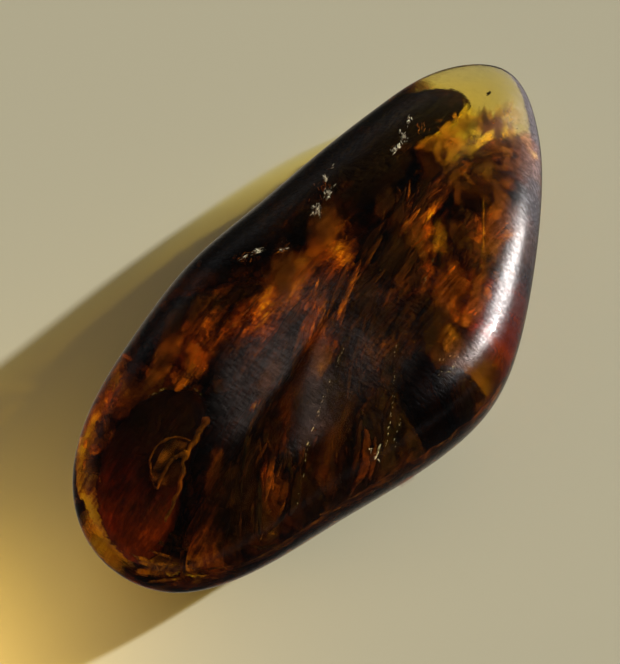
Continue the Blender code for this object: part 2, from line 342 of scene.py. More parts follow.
def resin_material():
    material = bpy.data.materials.new("clear_resin")
    material.use_nodes = True
    tree = material.node_tree
    shader = tree.nodes["Principled BSDF"]
    shader.inputs["Base Color"].default_value = (1, 1, 1, 1)
    shader.inputs["Roughness"].default_value = RESIN_ROUGHNESS
    shader.inputs["IOR"].default_value = RESIN_IOR
    shader.inputs["Transmission Weight"].default_value = 1.0
    shader.inputs["Coat Roughness"].default_value = HALO_ROUGHNESS
    wear = tree.nodes.new("ShaderNodeGroup")
    wear.node_tree = hand_wear_group()
    tree.links.new(wear.outputs["Weight"], shader.inputs["Coat Weight"])
    bump = tree.nodes.new("ShaderNodeBump")
    bump.inputs["Distance"].default_value = POLISH_SCRATCH
    tree.links.new(wear.outputs["Height"], bump.inputs["Height"])
    tree.links.new(bump.outputs["Normal"], shader.inputs["Normal"])
    ray = tree.nodes.new("ShaderNodeLightPath")
    clear = tree.nodes.new("ShaderNodeBsdfTransparent")
    mix = tree.nodes.new("ShaderNodeMixShader")
    place = tree.nodes.new("ShaderNodeTexCoord")
    along = tree.nodes.new("ShaderNodeSeparateXYZ")
    passed = tree.nodes.new("ShaderNodeMapRange")
    passed.interpolation_type = "SMOOTHSTEP"
    for name, value in (("From Min", TIP_SHARE_START), ("From Max", TIP_SHARE_END),
                        ("To Min", SHADOW_SHARE_BODY), ("To Max", SHADOW_SHARE_TIP)):
        passed.inputs[name].default_value = value
    tree.links.new(place.outputs["Object"], along.inputs[0])
    tree.links.new(along.outputs["X"], passed.inputs["Value"])
    tree.links.new(passed.outputs["Result"], clear.inputs["Color"])
    tree.links.new(ray.outputs["Is Shadow Ray"], mix.inputs["Fac"])
    tree.links.new(shader.outputs["BSDF"], mix.inputs[1])
    tree.links.new(clear.outputs["BSDF"], mix.inputs[2])
    depth = tree.nodes.new("ShaderNodeVolumeAbsorption")
    depth.inputs["Color"].default_value = (*RESIN_ABSORPTION, 1)
    depth.inputs["Density"].default_value = RESIN_DENSITY
    out = tree.nodes["Material Output"]
    tree.links.new(mix.outputs["Shader"], out.inputs["Surface"])
    tree.links.new(depth.outputs["Volume"], out.inputs["Volume"])
    return material


settle(pebble, resin_material(), "clear_resin", "amber_upper", "amber_lower")

# %% [markdown]
# ## How pale the debris is, from place to place
#
# Bark is nearly black where it is whole, red-brown where it is thin, and gold where only a film of
# it is left in the resin. One number from 0 to 1, the tone, says this for every point of every
# piece. It is a sum of soft oval patches, each placed where the real piece glows, and a
# colour ramp turns it into a colour. Written on the points of the mesh, the tone can be shared by
# big sheets of bark and by the smallest crumb, so that a glow runs on from one to the next.

# %% Tone over the plan
BASE_TONE = 0.20
# Middle x and y, half length and half width in mm, turn of the length from X in degrees, tone added
# The patches near x -29, y 4 to 7, in the butt's rim, are painted light: their gold stands for light that the rim
# gathers and sends out
WARM_PATCHES = [
    (2.4, 3.5, 2.6, 1.4, 20, 0.58), (-3.3, 4.0, 3.0, 1.4, 15, 0.48), (-7.0, 5.2, 3.6, 1.0, 20, 0.76),
    (-10.8, 8.0, 2.8, 1.8, -10, 0.32), (-14.2, 8.4, 2.6, 1.4, 10, 0.26), (-17.6, 11.2, 4.5, 1.2, 25, 0.30),
    (-5.2, 0.2, 3.4, 1.6, 20, 0.32), (-0.1, 0.7, 3.2, 1.2, 35, 0.20), (-14.5, 0.6, 0.5, 0.4, 0, 0.65),
    (8.8, -3.1, 3.8, 1.3, 35, 0.78), (12.0, -6.5, 3.0, 1.8, 30, 0.46), (3.8, -8.6, 4.2, 1.5, 25, 0.44),
    (0.2, -9.9, 2.2, 1.0, 10, 0.10), (19.6, 3.4, 3.2, 2.2, 10, 0.64), (15.6, -1.0, 2.4, 1.8, 0, 0.18),
    (9.6, 0.8, 4.0, 0.5, 40, 0.26), (-24.5, 10.4, 4.5, 1.3, 30, 0.48), (-28.6, 7.4, 2.4, 1.2, 50, 0.50),
    (-28.4, -2.2, 3.8, 1.8, -15, 0.40), (-19.0, -4.6, 2.6, 0.6, 20, 0.22), (-23.5, 0.4, 3.0, 0.8, 20, 0.14),
    (-29.6, 4.4, 1.9, 0.9, 65, 0.74), (1.0, -12.6, 4.5, 1.2, 20, 0.24), (6.5, -10.6, 3.5, 1.2, 30, 0.30),
    (22.5, -1.0, 4.0, 2.6, 20, 0.42), (-8.4, -7.8, 4.0, 2.0, -20, -0.14),
    (-22.0, -8.2, 5.0, 1.4, -25, 0.30), (-12.0, -10.4, 5.0, 1.4, -15, 0.16), (-18.5, 12.2, 3.5, 1.2, 20, 0.22), (-16.5, 9.6, 2.6, 0.9, -30, 0.22),
    (-30.8, 0.8, 2.2, 2.4, 0, 0.30)]


def tone_at(x, y, grain_seed=5):
    """Base tone, plus every patch's bell curve of the distance in its own ellipse, plus fine hills."""
    tone = np.full(np.shape(x), BASE_TONE)
    for middle_x, middle_y, half_long, half_wide, degrees, added in WARM_PATCHES:
        turn = math.radians(degrees)
        along = (x - middle_x) * math.cos(turn) + (y - middle_y) * math.sin(turn)
        across = (y - middle_y) * math.cos(turn) - (x - middle_x) * math.sin(turn)
        tone = tone + added * np.exp(-((along / half_long) ** 2 + (across / half_wide) ** 2))
    return tone + 0.07 * hills(x, y, 3.0, grain_seed, 3, 2.5)


print("tone in the glow and in the dark middle: %.2f, %.2f" % tuple(
    tone_at(np.array([2.4, -2.0]), np.array([3.5, -5.0]))))


# %% [markdown]
# ## A finish for everything that was once wood
#
# Bark, leaf and twig differ in tone, and they share their make: long fibres along the grain, with
# darker and paler streaks and small ridges. So the streaks and the colour ramp are one node group
# with named inputs, and each material sets its own tone, streak size and contrast. Object
# coordinates in metres are scaled so that the streaks are ten times longer than they are wide.

# %% Node group: fossil wood
# Where dust is mixed in, the red is weaker and the same debris looks olive
OLIVE_TINT = (0.78, 1.20, 1.10)
# Thin bark lets the light through and glows red
RED_TINT = (1.35, 0.42, 0.30)
WOOD_RAMP = [(0.00, (0.0045, 0.0026, 0.0016)), (0.20, (0.021, 0.0062, 0.0021)),
             (0.40, (0.088, 0.0215, 0.0042)), (0.60, (0.270, 0.066, 0.0072)),
             (0.80, (0.580, 0.200, 0.0150)), (1.00, (0.900, 0.480, 0.0500))]


def fossil_wood_group():
    group = bpy.data.node_groups.new("fossil_wood", "ShaderNodeTree")
    group_socket(group, "Tone", "INPUT", "NodeSocketFloat", 0.2)
    group_socket(group, "Contrast", "INPUT", "NodeSocketFloat", 0.3)
    group_socket(group, "Fibres per metre", "INPUT", "NodeSocketFloat", 3000.0)
    group_socket(group, "Redness", "INPUT", "NodeSocketFloat", 0.0)
    group_socket(group, "Color", "OUTPUT", "NodeSocketColor")
    group_socket(group, "Streaks", "OUTPUT", "NodeSocketFloat")
    group_socket(group, "Roughness", "OUTPUT", "NodeSocketFloat")
    given = group.nodes.new("NodeGroupInput")
    made = group.nodes.new("NodeGroupOutput")
    place = group.nodes.new("ShaderNodeTexCoord")
    grain = group.nodes.new("ShaderNodeMapping")
    grain.inputs["Rotation"].default_value = (0, 0, math.radians(-8))
    grain.inputs["Scale"].default_value = (0.10, 1.0, 0.6)
    fibres = group.nodes.new("ShaderNodeTexNoise")
    fibres.inputs["Detail"].default_value = 5
    fibres.inputs["Roughness"].default_value = 0.65
    fibres.inputs["Distortion"].default_value = 0.4
    patches = group.nodes.new("ShaderNodeTexNoise")
    patches.inputs["Detail"].default_value = 6
    patches.inputs["Roughness"].default_value = 0.6
    group.links.new(place.outputs["Object"], grain.inputs["Vector"])
    group.links.new(grain.outputs["Vector"], fibres.inputs["Vector"])
    group.links.new(given.outputs["Fibres per metre"], fibres.inputs["Scale"])
    group.links.new(place.outputs["Object"], patches.inputs["Vector"])
    group.links.new(maths(group, "MULTIPLY", given.outputs["Fibres per metre"], 0.22), patches.inputs["Scale"])
    both = maths(group, "ADD", maths(group, "MULTIPLY", fibres.outputs["Fac"], 0.6),
                 maths(group, "MULTIPLY", patches.outputs["Fac"], 0.6))
    spread = maths(group, "MULTIPLY", maths(group, "SUBTRACT", both, 0.6), given.outputs["Contrast"])
    scaled = maths(group, "MULTIPLY", spread, maths(group, "ADD", maths(group, "MULTIPLY", given.outputs["Tone"], 3.0), 0.8))
    ramp = group.nodes.new("ShaderNodeValToRGB")
    stops = ramp.color_ramp.elements
    for place_on, colour in WOOD_RAMP:
        stop = stops[0] if place_on == 0 else stops[-1] if place_on == 1 else stops.new(place_on)
        stop.color = (*colour, 1)
    group.links.new(maths(group, "ADD", given.outputs["Tone"], scaled), ramp.inputs["Fac"])
    drift = group.nodes.new("ShaderNodeTexNoise")
    drift.inputs["Scale"].default_value = 190.0
    drift.inputs["Detail"].default_value = 4
    group.links.new(place.outputs["Object"], drift.inputs["Vector"])
    olive = group.nodes.new("ShaderNodeMix")
    olive.data_type, olive.blend_type = "RGBA", "MULTIPLY"
    olive.inputs["B"].default_value = (*OLIVE_TINT, 1)
    shift = maths(group, "MULTIPLY", maths(group, "SUBTRACT", drift.outputs["Fac"], 0.40), 5.0)
    group.links.new(maths(group, "MINIMUM", maths(group, "MAXIMUM", shift, 0.0), 1.0), olive.inputs["Factor"])
    group.links.new(ramp.outputs["Color"], olive.inputs["A"])
    red = group.nodes.new("ShaderNodeMix")
    red.data_type, red.blend_type = "RGBA", "MULTIPLY"
    red.inputs["B"].default_value = (*RED_TINT, 1)
    group.links.new(given.outputs["Redness"], red.inputs["Factor"])
    group.links.new(olive.outputs["Result"], red.inputs["A"])
    group.links.new(red.outputs["Result"], made.inputs["Color"])
    group.links.new(fibres.outputs["Fac"], made.inputs["Streaks"])
    group.links.new(maths(group, "ADD", maths(group, "MULTIPLY", fibres.outputs["Fac"], 0.35), 0.35),
                    made.inputs["Roughness"])
    return group


FOSSIL_WOOD = fossil_wood_group()


def wood_material(name, tone_added, contrast, fibres, bump_depth, redness=0.0):
    """Fossil wood whose tone is the mesh's own tone attribute plus a shift for this material."""
    material = bpy.data.materials.new(name)
    material.use_nodes = True
    tree = material.node_tree
    shader = tree.nodes["Principled BSDF"]
    tone = tree.nodes.new("ShaderNodeAttribute")
    tone.attribute_name = "tone"
    wood = tree.nodes.new("ShaderNodeGroup")
    wood.node_tree = FOSSIL_WOOD
    wood.inputs["Contrast"].default_value = contrast
    wood.inputs["Fibres per metre"].default_value = fibres
    wood.inputs["Redness"].default_value = redness
    bump = tree.nodes.new("ShaderNodeBump")
    bump.inputs["Strength"].default_value = 0.8
    bump.inputs["Distance"].default_value = bump_depth * MM
    tree.links.new(maths(tree, "ADD", tone.outputs["Fac"], tone_added), wood.inputs["Tone"])
    tree.links.new(wood.outputs["Color"], shader.inputs["Base Color"])
    tree.links.new(wood.outputs["Roughness"], shader.inputs["Roughness"])
    tree.links.new(wood.outputs["Streaks"], bump.inputs["Height"])
    tree.links.new(bump.outputs["Normal"], shader.inputs["Normal"])
    shader.inputs["IOR"].default_value = 1.1
    return material


WOODS = {
    "dark_bark": wood_material("dark_bark", -0.08, 0.90, 2200.0, 0.10, 0.25),
    "red_bark": wood_material("red_bark", 0.0, 0.45, 2600.0, 0.08, 0.8),
    "leaf_litter": wood_material("leaf_litter", 0.0, 0.75, 3200.0, 0.10, 0.15),
    "pale_twig": wood_material("pale_twig", 0.22, 0.40, 4200.0, 0.04)}
print("fossil woods:", ", ".join(WOODS))

# %% [markdown]
# ## Sheets of bark and litter
#
# Each large inclusion is a ragged lens: two shells over one frayed outline. The outline is pushed in
# and out by small random hills, and each shell gets fibres drawn out along the grain and a few steps,
# as bark splits in layers. The lens stands where the CAD solid stands, so that it fills its pocket.

# %% Ragged lenses
LENS_SPREAD, LENS_RISE = 2.4, 2.2


def scale_tone(x, y):
    """Black where the scale is whole, paler by its length towards the butt, where light comes through."""
    return 0.02 + 0.34 * np.clip((-21.0 - x) / 8.0, 0, 1) + 0.10 * np.clip((4.0 - y) / 4.0, 0, 1)


def flake_tone(x, y):
    """Nearly black, with red-brown mottling, and a red glow at the thin end in the tip."""
    return (0.03 + 0.09 * hills(x, y, 4.0, 15, 4, 1.8) + 0.10 * np.exp(-((x - 5.0) / 4.0) ** 2)
            + 0.16 * np.exp(-((x - 25.2) / 1.2) ** 2))


def ragged_lens(name, plan, up, down, seed, fray=0.25, relief=0.35, steps=0.5, tone_added=0.0,
                segments=320, ring_count=48, tones_of=None):
    """Two shells over a frayed outline. With s the share of the plan, a shell's height is its full
    height times (1 - s ** spread) ** (1 / rise), less fibres, and less the part of each step passed."""
    outline = closed_curve(plan, segments)
    middle = outline.mean(0)
    along = np.roll(outline, -1, 0) - np.roll(outline, 1, 0)
    outwards = np.column_stack([along[:, 1], -along[:, 0]])
    outwards /= np.linalg.norm(outwards, axis=1)[:, None]
    push = fray * (hills(outline[:, 0], outline[:, 1], 2.2, seed, 4) - 0.5)
    turn = (np.arange(1, ring_count + 1) / ring_count * np.pi / 2)[:, None]
    share = np.sin(turn) ** 0.8
    edge = share ** 8 * push
    x = middle[0] + (outline[:, 0] - middle[0]) * share + edge * outwards[:, 0]
    y = middle[1] + (outline[:, 1] - middle[1]) * share + edge * outwards[:, 1]
    swell = np.clip(1 - share ** LENS_SPREAD, 0, 1) ** (1 / LENS_RISE)
    fibres = hills(x, y, 1.4, seed + 1, 3, 7.0)
    lumps = hills(x, y, 4.0, seed + 2, 3, 2.0)
    terrace = steps * (np.mod(lumps * 2.2, 1.0) ** 4)
    sink = np.clip(relief * (0.5 - 0.5 * fibres) + 0.5 * relief * (0.5 - 0.5 * lumps) + terrace, 0, up * 0.7)
    upper = middle_level(x) + swell * (up - sink)
    lower = middle_level(x) - swell * (down - 0.5 * np.clip(sink, 0, down * 0.7))
    shells = np.stack([np.concatenate([x, x[::-1][1:]]), np.concatenate([y, y[::-1][1:]]),
                       np.concatenate([upper, lower[::-1][1:]])], -1)
    tones = tone_added + (tones_of(shells[..., 0], shells[..., 1]) if tones_of
                          else tone_at(shells[..., 0], shells[..., 1], seed))
    # Painted shade: the tone darkens by how deep the shell sinks, so that its grooves and steps look shaded
    depth = np.concatenate([sink, sink[::-1][1:]]) / max(up, 1)
    tones = tones - 0.25 * depth
    first = np.array([[middle[0], middle[1], shells[0, :, 2].mean()]])
    last = np.array([[middle[0], middle[1], shells[-1, :, 2].mean()]])
    return ring_mesh(name, shells[None], first, last, tones)


BARK_FLAKE = [
    (24.4, 7.6), (20.9, 9.2), (15.1, 10.9), (8.0, 12.0), (-0.5, 13.2), (-5.4, 12.6), (-3.6, 10.6),
    (-1.5, 8.7), (1.7, 6.9), (6.1, 5.2), (9.8, 4.1), (13.4, 3.4), (16.6, 3.6), (20.1, 3.6),
    (23.4, 3.5), (25.4, 4.4), (25.7, 6.0)]
BARK_SCALE = [
    (-15.2, 5.6), (-15.8, 7.5), (-17.8, 9.0), (-21.0, 9.4), (-24.7, 8.9), (-28.0, 7.0), (-30.0, 4.2),
    (-30.0, 1.9), (-27.3, 0.9), (-23.3, 1.9), (-18.6, 3.4)]
LEAF_LITTER = [
    (19.3, 0.2), (17.4, 1.8), (13.0, 2.0), (9.0, 2.6), (5.0, 4.0), (1.0, 5.6), (-2.6, 7.4),
    (-5.2, 9.6), (-7.4, 11.3), (-10.6, 12.0), (-13.8, 11.4), (-14.3, 9.0), (-13.6, 6.6),
    (-14.0, 4.3), (-16.4, 2.8), (-20.5, 1.4), (-25.0, -0.3), (-28.2, -1.3), (-27.6, -3.0),
    (-24.4, -4.4), (-20.6, -6.4), (-15.8, -8.9), (-11.0, -11.2), (-8.0, -11.6), (-6.8, -9.6),
    (-5.0, -7.9), (-2.2, -7.3), (0.9, -8.3), (3.0, -9.0), (4.6, -8.2), (5.2, -6.0), (8.0, -3.4),
    (11.6, -1.2), (15.0, -1.4), (18.0, -1.0)]
BARK_CHIP = [
    (-0.4, -10.0), (-2.6, -8.9), (-5.0, -9.4), (-5.6, -11.4), (-4.4, -12.8), (-2.0, -13.0),
    (0.2, -12.0)]
LEAF_FOLD = [
    (14.3, -3.0), (12.7, -2.2), (9.2, -4.2), (6.4, -6.4), (6.0, -7.8), (7.6, -8.4), (11.0, -6.4),
    (14.2, -4.4)]
RESIN_CLOT = [(22.9, 0.1), (22.1, 1.1), (20.8, 0.9), (20.5, -0.3), (21.4, -1.1), (22.5, -0.8)]

settle(ragged_lens("bark_flake_grain", BARK_FLAKE, 4.1, 2.0, 11, 0.12, 0.25, 0.25, tones_of=flake_tone),
       WOODS["dark_bark"], "dark_bark", "bark_flake")
settle(ragged_lens("bark_scale_grain", BARK_SCALE, 3.4, 2.2, 21, 0.06, 0.15, 0.10, tones_of=scale_tone),
       WOODS["red_bark"], "red_bark", "bark_scale")
settle(ragged_lens("leaf_litter_grain", LEAF_LITTER, 5.0, 2.9, 31, 0.35, 0.7, 0.5,
                   segments=440, ring_count=96),
       WOODS["leaf_litter"], "leaf_litter", "leaf_litter")
CHIP_MIDDLE, CHIP_SHARE = (-1.4, -10.2), 0.68
chip_plan = [(CHIP_MIDDLE[0] + CHIP_SHARE * (x - CHIP_MIDDLE[0]), CHIP_MIDDLE[1] + CHIP_SHARE * (y - CHIP_MIDDLE[1]))
             for x, y in BARK_CHIP]
settle(ragged_lens("bark_chip_grain", chip_plan, 4.2, 1.4, 41, 0.35, 0.3, 0.3, -0.10),
       WOODS["dark_bark"], "dark_bark", "bark_chip")
settle(ragged_lens("leaf_fold_grain", LEAF_FOLD, 4.4, 1.8, 51, 0.10, 0.3, 0.2, -0.10),
       WOODS["leaf_litter"], "leaf_litter", "leaf_fold")
settle(ragged_lens("resin_clot_grain", RESIN_CLOT, 2.4, 1.2, 61, 0.30, 0.4, 0.3),
       WOODS["dark_bark"], "dark_bark", "resin_clot")

# %% [markdown]
# ## What lies inside the resin
#
# Loose flakes must not poke through the polish. The same formula that shaped the pebble gives the
# height of its top and of its underside over any point, so a flake's place can be tested before the
# flake is made. A ray cast at the finished mesh would also do, but one formula is faster and exact.

# %% The walls of the resin
SILHOUETTE = pebble_outline(720)
SILHOUETTE_TURNS = np.arctan2(SILHOUETTE[:, 1], SILHOUETTE[:, 0])
SILHOUETTE_ORDER = np.argsort(SILHOUETTE_TURNS)


def resin_walls(x, y):
    """The share of the plan, and the heights of the top and of the underside, over a point."""
    turn = np.arctan2(y, x)
    reach = np.interp(turn, SILHOUETTE_TURNS[SILHOUETTE_ORDER],
                      np.linalg.norm(SILHOUETTE, axis=1)[SILHOUETTE_ORDER], period=2 * np.pi)
    share = np.hypot(x, y) / reach
    flank = flank_share(np.stack([reach * np.cos(turn), reach * np.sin(turn)], -1).reshape(-1, 2))
    flank = flank.reshape(share.shape)
    up = np.clip(1 - share ** (TOP_SPREAD + FLANK_SPREAD * flank), 0, 1) ** (1 / TOP_RISE)
    top = middle_level(x) + dome_rise(x) * up + FLANK_LIFT * flank * (1 - up)
    cosine = np.clip((share - FLAT_SHARE) / (1 - FLAT_SHARE), 0, 1)
    under = (middle_level(x) + FLANK_LIFT * flank) * (1 - np.sqrt(1 - cosine ** 2))
    return share, top, under


def well_inside(middles, room):
    """True for places at least room mm from the resin's surface, room being a number or an array."""
    share, top, under = resin_walls(middles[:, 0], middles[:, 1])
    reach = np.hypot(middles[:, 0], middles[:, 1]) / np.maximum(share, 0.01)
    clear = reach * (1 - share) > 1.3 * room
    return clear & (middles[:, 2] < top - room) & (middles[:, 2] > under + room)


deepest = resin_walls(np.array([-8.0]), np.array([0.0]))
print("over (-8, 0) the resin runs from %.1f to %.1f mm" % (deepest[2][0], deepest[1][0]))

# %% [markdown]
# ## Flakes, crumbs and fibres
#
# Between and over the sheets, the resin is full of loose flakes. Every flake is one small closed
# disc: a ragged outline, a thickness, a bend along its length, and its own turn and tilt. All the
# flakes of a kind are worked out together as one array and joined in one mesh, which is far quicker
# than hundreds of objects, and lets each flake keep its own tone.

# %% Flakes worked out as one array
def flake_points(middles, lengths, widths, thickness, turns, tilts, bends, ragged, seed, segments, steps):
    """Discs shaped flake by ring by segment. Each has a ragged outline, is bent across its length by
    bend times the square of the distance from its middle, and is tilted and turned into place."""
    rng = np.random.default_rng(seed)
    n = len(middles)
    angle = np.linspace(0, 2 * np.pi, segments, endpoint=False)
    lobes = rng.uniform(0, 2 * np.pi, (3, n, 1, 1))
    soft = sum(np.cos((k + 2) * angle + lobes[k]) for k in range(3)) / 3
    rough = 1 + ragged * (0.6 * soft + 0.4 * rng.uniform(-1, 1, (n, 1, segments)))
    share = np.arange(1, steps + 1) / steps
    share = np.concatenate([share, share[::-1][1:]])[None, :, None]
    over = np.concatenate([np.full(steps - 1, 0.5), [0.0], np.full(steps - 1, -0.5)])
    x = lengths[:, None, None] / 2 * share * rough * np.cos(angle)
    y = widths[:, None, None] / 2 * share * rough * np.sin(angle)
    warp = 0.10 * widths[:, None, None] * soft * share
    z = over[None, :, None] * thickness[:, None, None] + warp + bends[:, None, None] * x ** 2
    y = y + 0.6 * bends[:, None, None] * x ** 2
    points = np.stack([x, y, z], -1)
    poles = np.zeros((n, 2, 3))
    poles[:, 0, 2], poles[:, 1, 2] = thickness / 2, -thickness / 2
    return put_in_place(points, middles, turns, tilts), put_in_place(poles, middles, turns, tilts), share


def put_in_place(local, middles, turns, tilts):
    """Tilts each piece's own points about its X and Y, turns them about Z and moves them."""
    wide = (slice(None),) + (None,) * (local.ndim - 2)
    cos_x, sin_x, cos_y, sin_y = (f(t)[wide] for t in tilts.T for f in (np.cos, np.sin))
    cos_z, sin_z = np.cos(turns)[wide], np.sin(turns)[wide]
    x, y, z = np.moveaxis(local, -1, 0)
    y, z = y * cos_x - z * sin_x, y * sin_x + z * cos_x
    x, z = x * cos_y + z * sin_y, z * cos_y - x * sin_y
    x, y = x * cos_z - y * sin_z, x * sin_z + y * cos_z
    return np.stack([x, y, z], -1) + middles[wide]


def flake_cloud(name, middles, lengths, widths, thickness, turns, tilts, bends, tones, seed, ragged=0.35,
                segments=16, steps=3):
    """Joined flakes, with the tone of each on its points, and as cover 1 at its middle to 0 at its rim."""
    points, poles, share = flake_points(middles, lengths, widths, thickness, turns, tilts, bends, ragged,
                                        seed, segments, steps)
    spread = np.broadcast_to(tones[:, None, None], points.shape[:3])
    cloud = ring_mesh(name, points, poles[:, 0], poles[:, 1], spread)
    cover = np.broadcast_to(1 - share ** 2, points.shape[:3]).reshape(len(middles), -1)
    ends = np.ones((len(middles), 1))
    add_values(cloud, "cover", np.concatenate([ends, cover, ends], 1))
    return cloud


def scatter(rng, count, regions):
    """Random places in ovals given as middle x, y, z, half length, half width, turn in degrees, depth
    and share of the count. Places are thicker towards the middle of each oval."""
    shares = np.array([region[7] for region in regions])
    pick = rng.choice(len(regions), count, p=shares / shares.sum())
    chosen = np.array([region[:7] for region in regions])[pick]
    reach, around = np.sqrt(rng.uniform(0, 1, count)), rng.uniform(0, 2 * np.pi, count)
    along, across = chosen[:, 3] * reach * np.cos(around), chosen[:, 4] * reach * np.sin(around)
    turn = np.radians(chosen[:, 5])
    x = chosen[:, 0] + along * np.cos(turn) - across * np.sin(turn)
    y = chosen[:, 1] + along * np.sin(turn) + across * np.cos(turn)
    z = chosen[:, 2] + chosen[:, 6] * rng.uniform(-1, 1, count)
    return np.column_stack([x, y, z]), turn


def drifted_flakes(name, count, regions, length_range, slimness, seed, tone_shift=0.0, tone_spread=0.12,
                   grain_spread=0.4, tilt=0.35, thickness=0.05, bend=0.03, ragged=0.35, segments=16,
                   steps=3):
    rng = np.random.default_rng(seed)
    middles, turn = scatter(rng, count, regions)
    lengths = length_range[0] * (length_range[1] / length_range[0]) ** rng.uniform(0, 1, count)
    widths = lengths / rng.uniform(*slimness, count)
    turns = turn + grain_spread * rng.normal(0, 1, count)
    keep = well_inside(middles, 0.3 + 0.4 * lengths)
    middles, lengths, widths, turns, count = middles[keep], lengths[keep], widths[keep], turns[keep], keep.sum()
    tilts = tilt * rng.normal(0, 1, (count, 2))
    tones = tone_at(middles[:, 0], middles[:, 1]) + tone_shift + tone_spread * rng.normal(0, 1, count)
    return flake_cloud(name, middles, lengths, widths, np.full(count, thickness), turns, tilts,
                       bend * rng.normal(0, 1, count), tones, seed + 9, ragged, segments, steps)


print("each flake has", (2 * 3 - 1) * 16 + 2, "points unless it asks for more")

# %% [markdown]
# ### Flakes in the windows between the sheets
#
# Between the big sheets the resin is clear enough to show loose bark, and these flakes float there at
# every depth. They are scattered in ovals, thicker towards the middle of each, and each oval has the
# direction of the grain around it. A particle system would scatter them as well, but not so exactly.

# %% Flakes in the windows
WINDOW_REGIONS = [
    (3.0, 4.6, 7.0, 5.0, 1.2, 20, 1.6, 3), (-4.0, 8.2, 7.5, 5.0, 1.6, 35, 1.8, 4),
    (-10.5, 12.0, 7.5, 6.5, 1.8, 5, 1.8, 5), (-16.0, 11.6, 7.2, 5.5, 2.2, 10, 1.5, 5),
    (-24.5, 10.0, 7.2, 5.0, 1.6, 30, 1.3, 3), (-14.6, 5.5, 7.6, 1.2, 3.4, 0, 1.4, 2),
    (6.0, -5.0, 6.4, 6.0, 1.4, 38, 1.4, 2), (5.0, -10.2, 7.2, 5.5, 1.4, 25, 1.4, 3),
    (-2.5, -14.0, 7.0, 6.0, 1.0, -5, 1.2, 3), (-14.0, -11.6, 7.0, 7.0, 1.2, -27, 1.2, 4),
    (-25.0, -6.0, 7.0, 4.5, 1.4, -35, 1.2, 3), (-23.0, 0.6, 8.0, 6.0, 0.8, 5, 1.4, 3)]
settle(drifted_flakes("window_flakes", 260, WINDOW_REGIONS, (0.5, 3.0), (1.6, 4.5), 71, 0.02, 0.06,
                      ragged=0.25, tilt=0.25), WOODS["leaf_litter"], "leaf_litter")

# %% [markdown]
# ### Shards on the litter
#
# The litter's upper side is a mat of thin splinters that all point the same way, which gives the dark
# middle its fine strokes. They are the same flakes, made long and slim and laid almost flat.

# %% Shards on the litter
LITTER_REGIONS = [
    (4.0, -0.6, 11.4, 8.0, 2.2, 12, 0.5, 4), (-7.0, -2.0, 12.1, 8.0, 4.6, 20, 0.5, 6),
    (-18.0, -3.0, 12.2, 7.0, 3.0, 25, 0.5, 5), (-11.0, -7.0, 11.4, 7.0, 3.0, 25, 0.6, 3), (-25.6, -0.6, 8.8, 3.2, 2.0, 20, 0.7, 2)]
settle(drifted_flakes("litter_shards", 320, LITTER_REGIONS, (0.6, 6.0), (5.0, 16.0), 81, -0.02, 0.05,
                      0.22, 0.18, ragged=0.2), WOODS["leaf_litter"], "leaf_litter")

# %% [markdown]
# ## Films in the resin
#
# Resin runs down bark in many coats, and each coat carries a film of dust and dissolved bark. Such
# a film has no edge: it is densest in its middle and fades out. Its mesh is a smooth thin disc, and
# its alpha is a cover that is 1 in the middle and 0 at the rim, times cloudy noise. The widest film
# is a bowl under all the sheets, and it is why no window between them is quite clear.

# %% Film material
CLOUDS_PER_METRE = 520.0


def film_cover_group():
    """Alpha = the least of 1 and cover times density times cloudy noise."""
    group = bpy.data.node_groups.new("film_cover", "ShaderNodeTree")
    group_socket(group, "Cover", "INPUT", "NodeSocketFloat", 1.0)
    group_socket(group, "Density", "INPUT", "NodeSocketFloat", 1.0)
    group_socket(group, "Clouds per metre", "INPUT", "NodeSocketFloat", CLOUDS_PER_METRE)
    group_socket(group, "Alpha", "OUTPUT", "NodeSocketFloat")
    given, made = group.nodes.new("NodeGroupInput"), group.nodes.new("NodeGroupOutput")
    place = group.nodes.new("ShaderNodeTexCoord")
    cloud = group.nodes.new("ShaderNodeTexNoise")
    cloud.inputs["Detail"].default_value = 5
    cloud.inputs["Roughness"].default_value = 0.65
    group.links.new(place.outputs["Object"], cloud.inputs["Vector"])
    group.links.new(given.outputs["Clouds per metre"], cloud.inputs["Scale"])
    dense = maths(group, "MULTIPLY", given.outputs["Cover"], cloud.outputs["Fac"])
    dense = maths(group, "MULTIPLY", dense, given.outputs["Density"])
    group.links.new(maths(group, "MINIMUM", dense, 1.0), made.inputs["Alpha"])
    return group


FILM_COVER = film_cover_group()


def film_material(name, tone_added, density, contrast=0.45, redness=0.0):
    """Fossil wood that shows only where cover times noise is dense."""
    material = wood_material(name, tone_added, contrast, 2600.0, 0.03, redness)
    tree = material.node_tree
    cover = tree.nodes.new("ShaderNodeAttribute")
    cover.attribute_name = "cover"
    film = tree.nodes.new("ShaderNodeGroup")
    film.node_tree = FILM_COVER
    film.inputs["Density"].default_value = density
    tree.links.new(cover.outputs["Fac"], film.inputs["Cover"])
    tree.links.new(film.outputs["Alpha"], tree.nodes["Principled BSDF"].inputs["Alpha"])
    return material


RESIN_FILM = film_material("resin_film", 0.0, 1.3, 0.75)
print("the film's alpha comes from", FILM_COVER.name, "with", len(FILM_COVER.nodes), "nodes")

# %% [markdown]
# ### Stained bowls under everything
#
# No window between the sheets is quite clear, for stained coats of resin pass under them all. One bowl
# sags under the sheets and one follows the underside. Both have clear places cut into their cover, at
# the tip and at the side window, where the real piece lets the floor shine through.

# %% Bowls of stained resin under the sheets
BED_SEGMENTS, BED_RINGS, BED_THICKNESS = 420, 80, 0.2
# The upper bowl's share of the plan and how deep it sags; the lower bowl's share and height off the
# underside, all in mm but for the shares
UPPER_SHARE, UPPER_SAG, LOWER_SHARE, LOWER_GAP = 0.93, 2.6, 0.965, 0.9
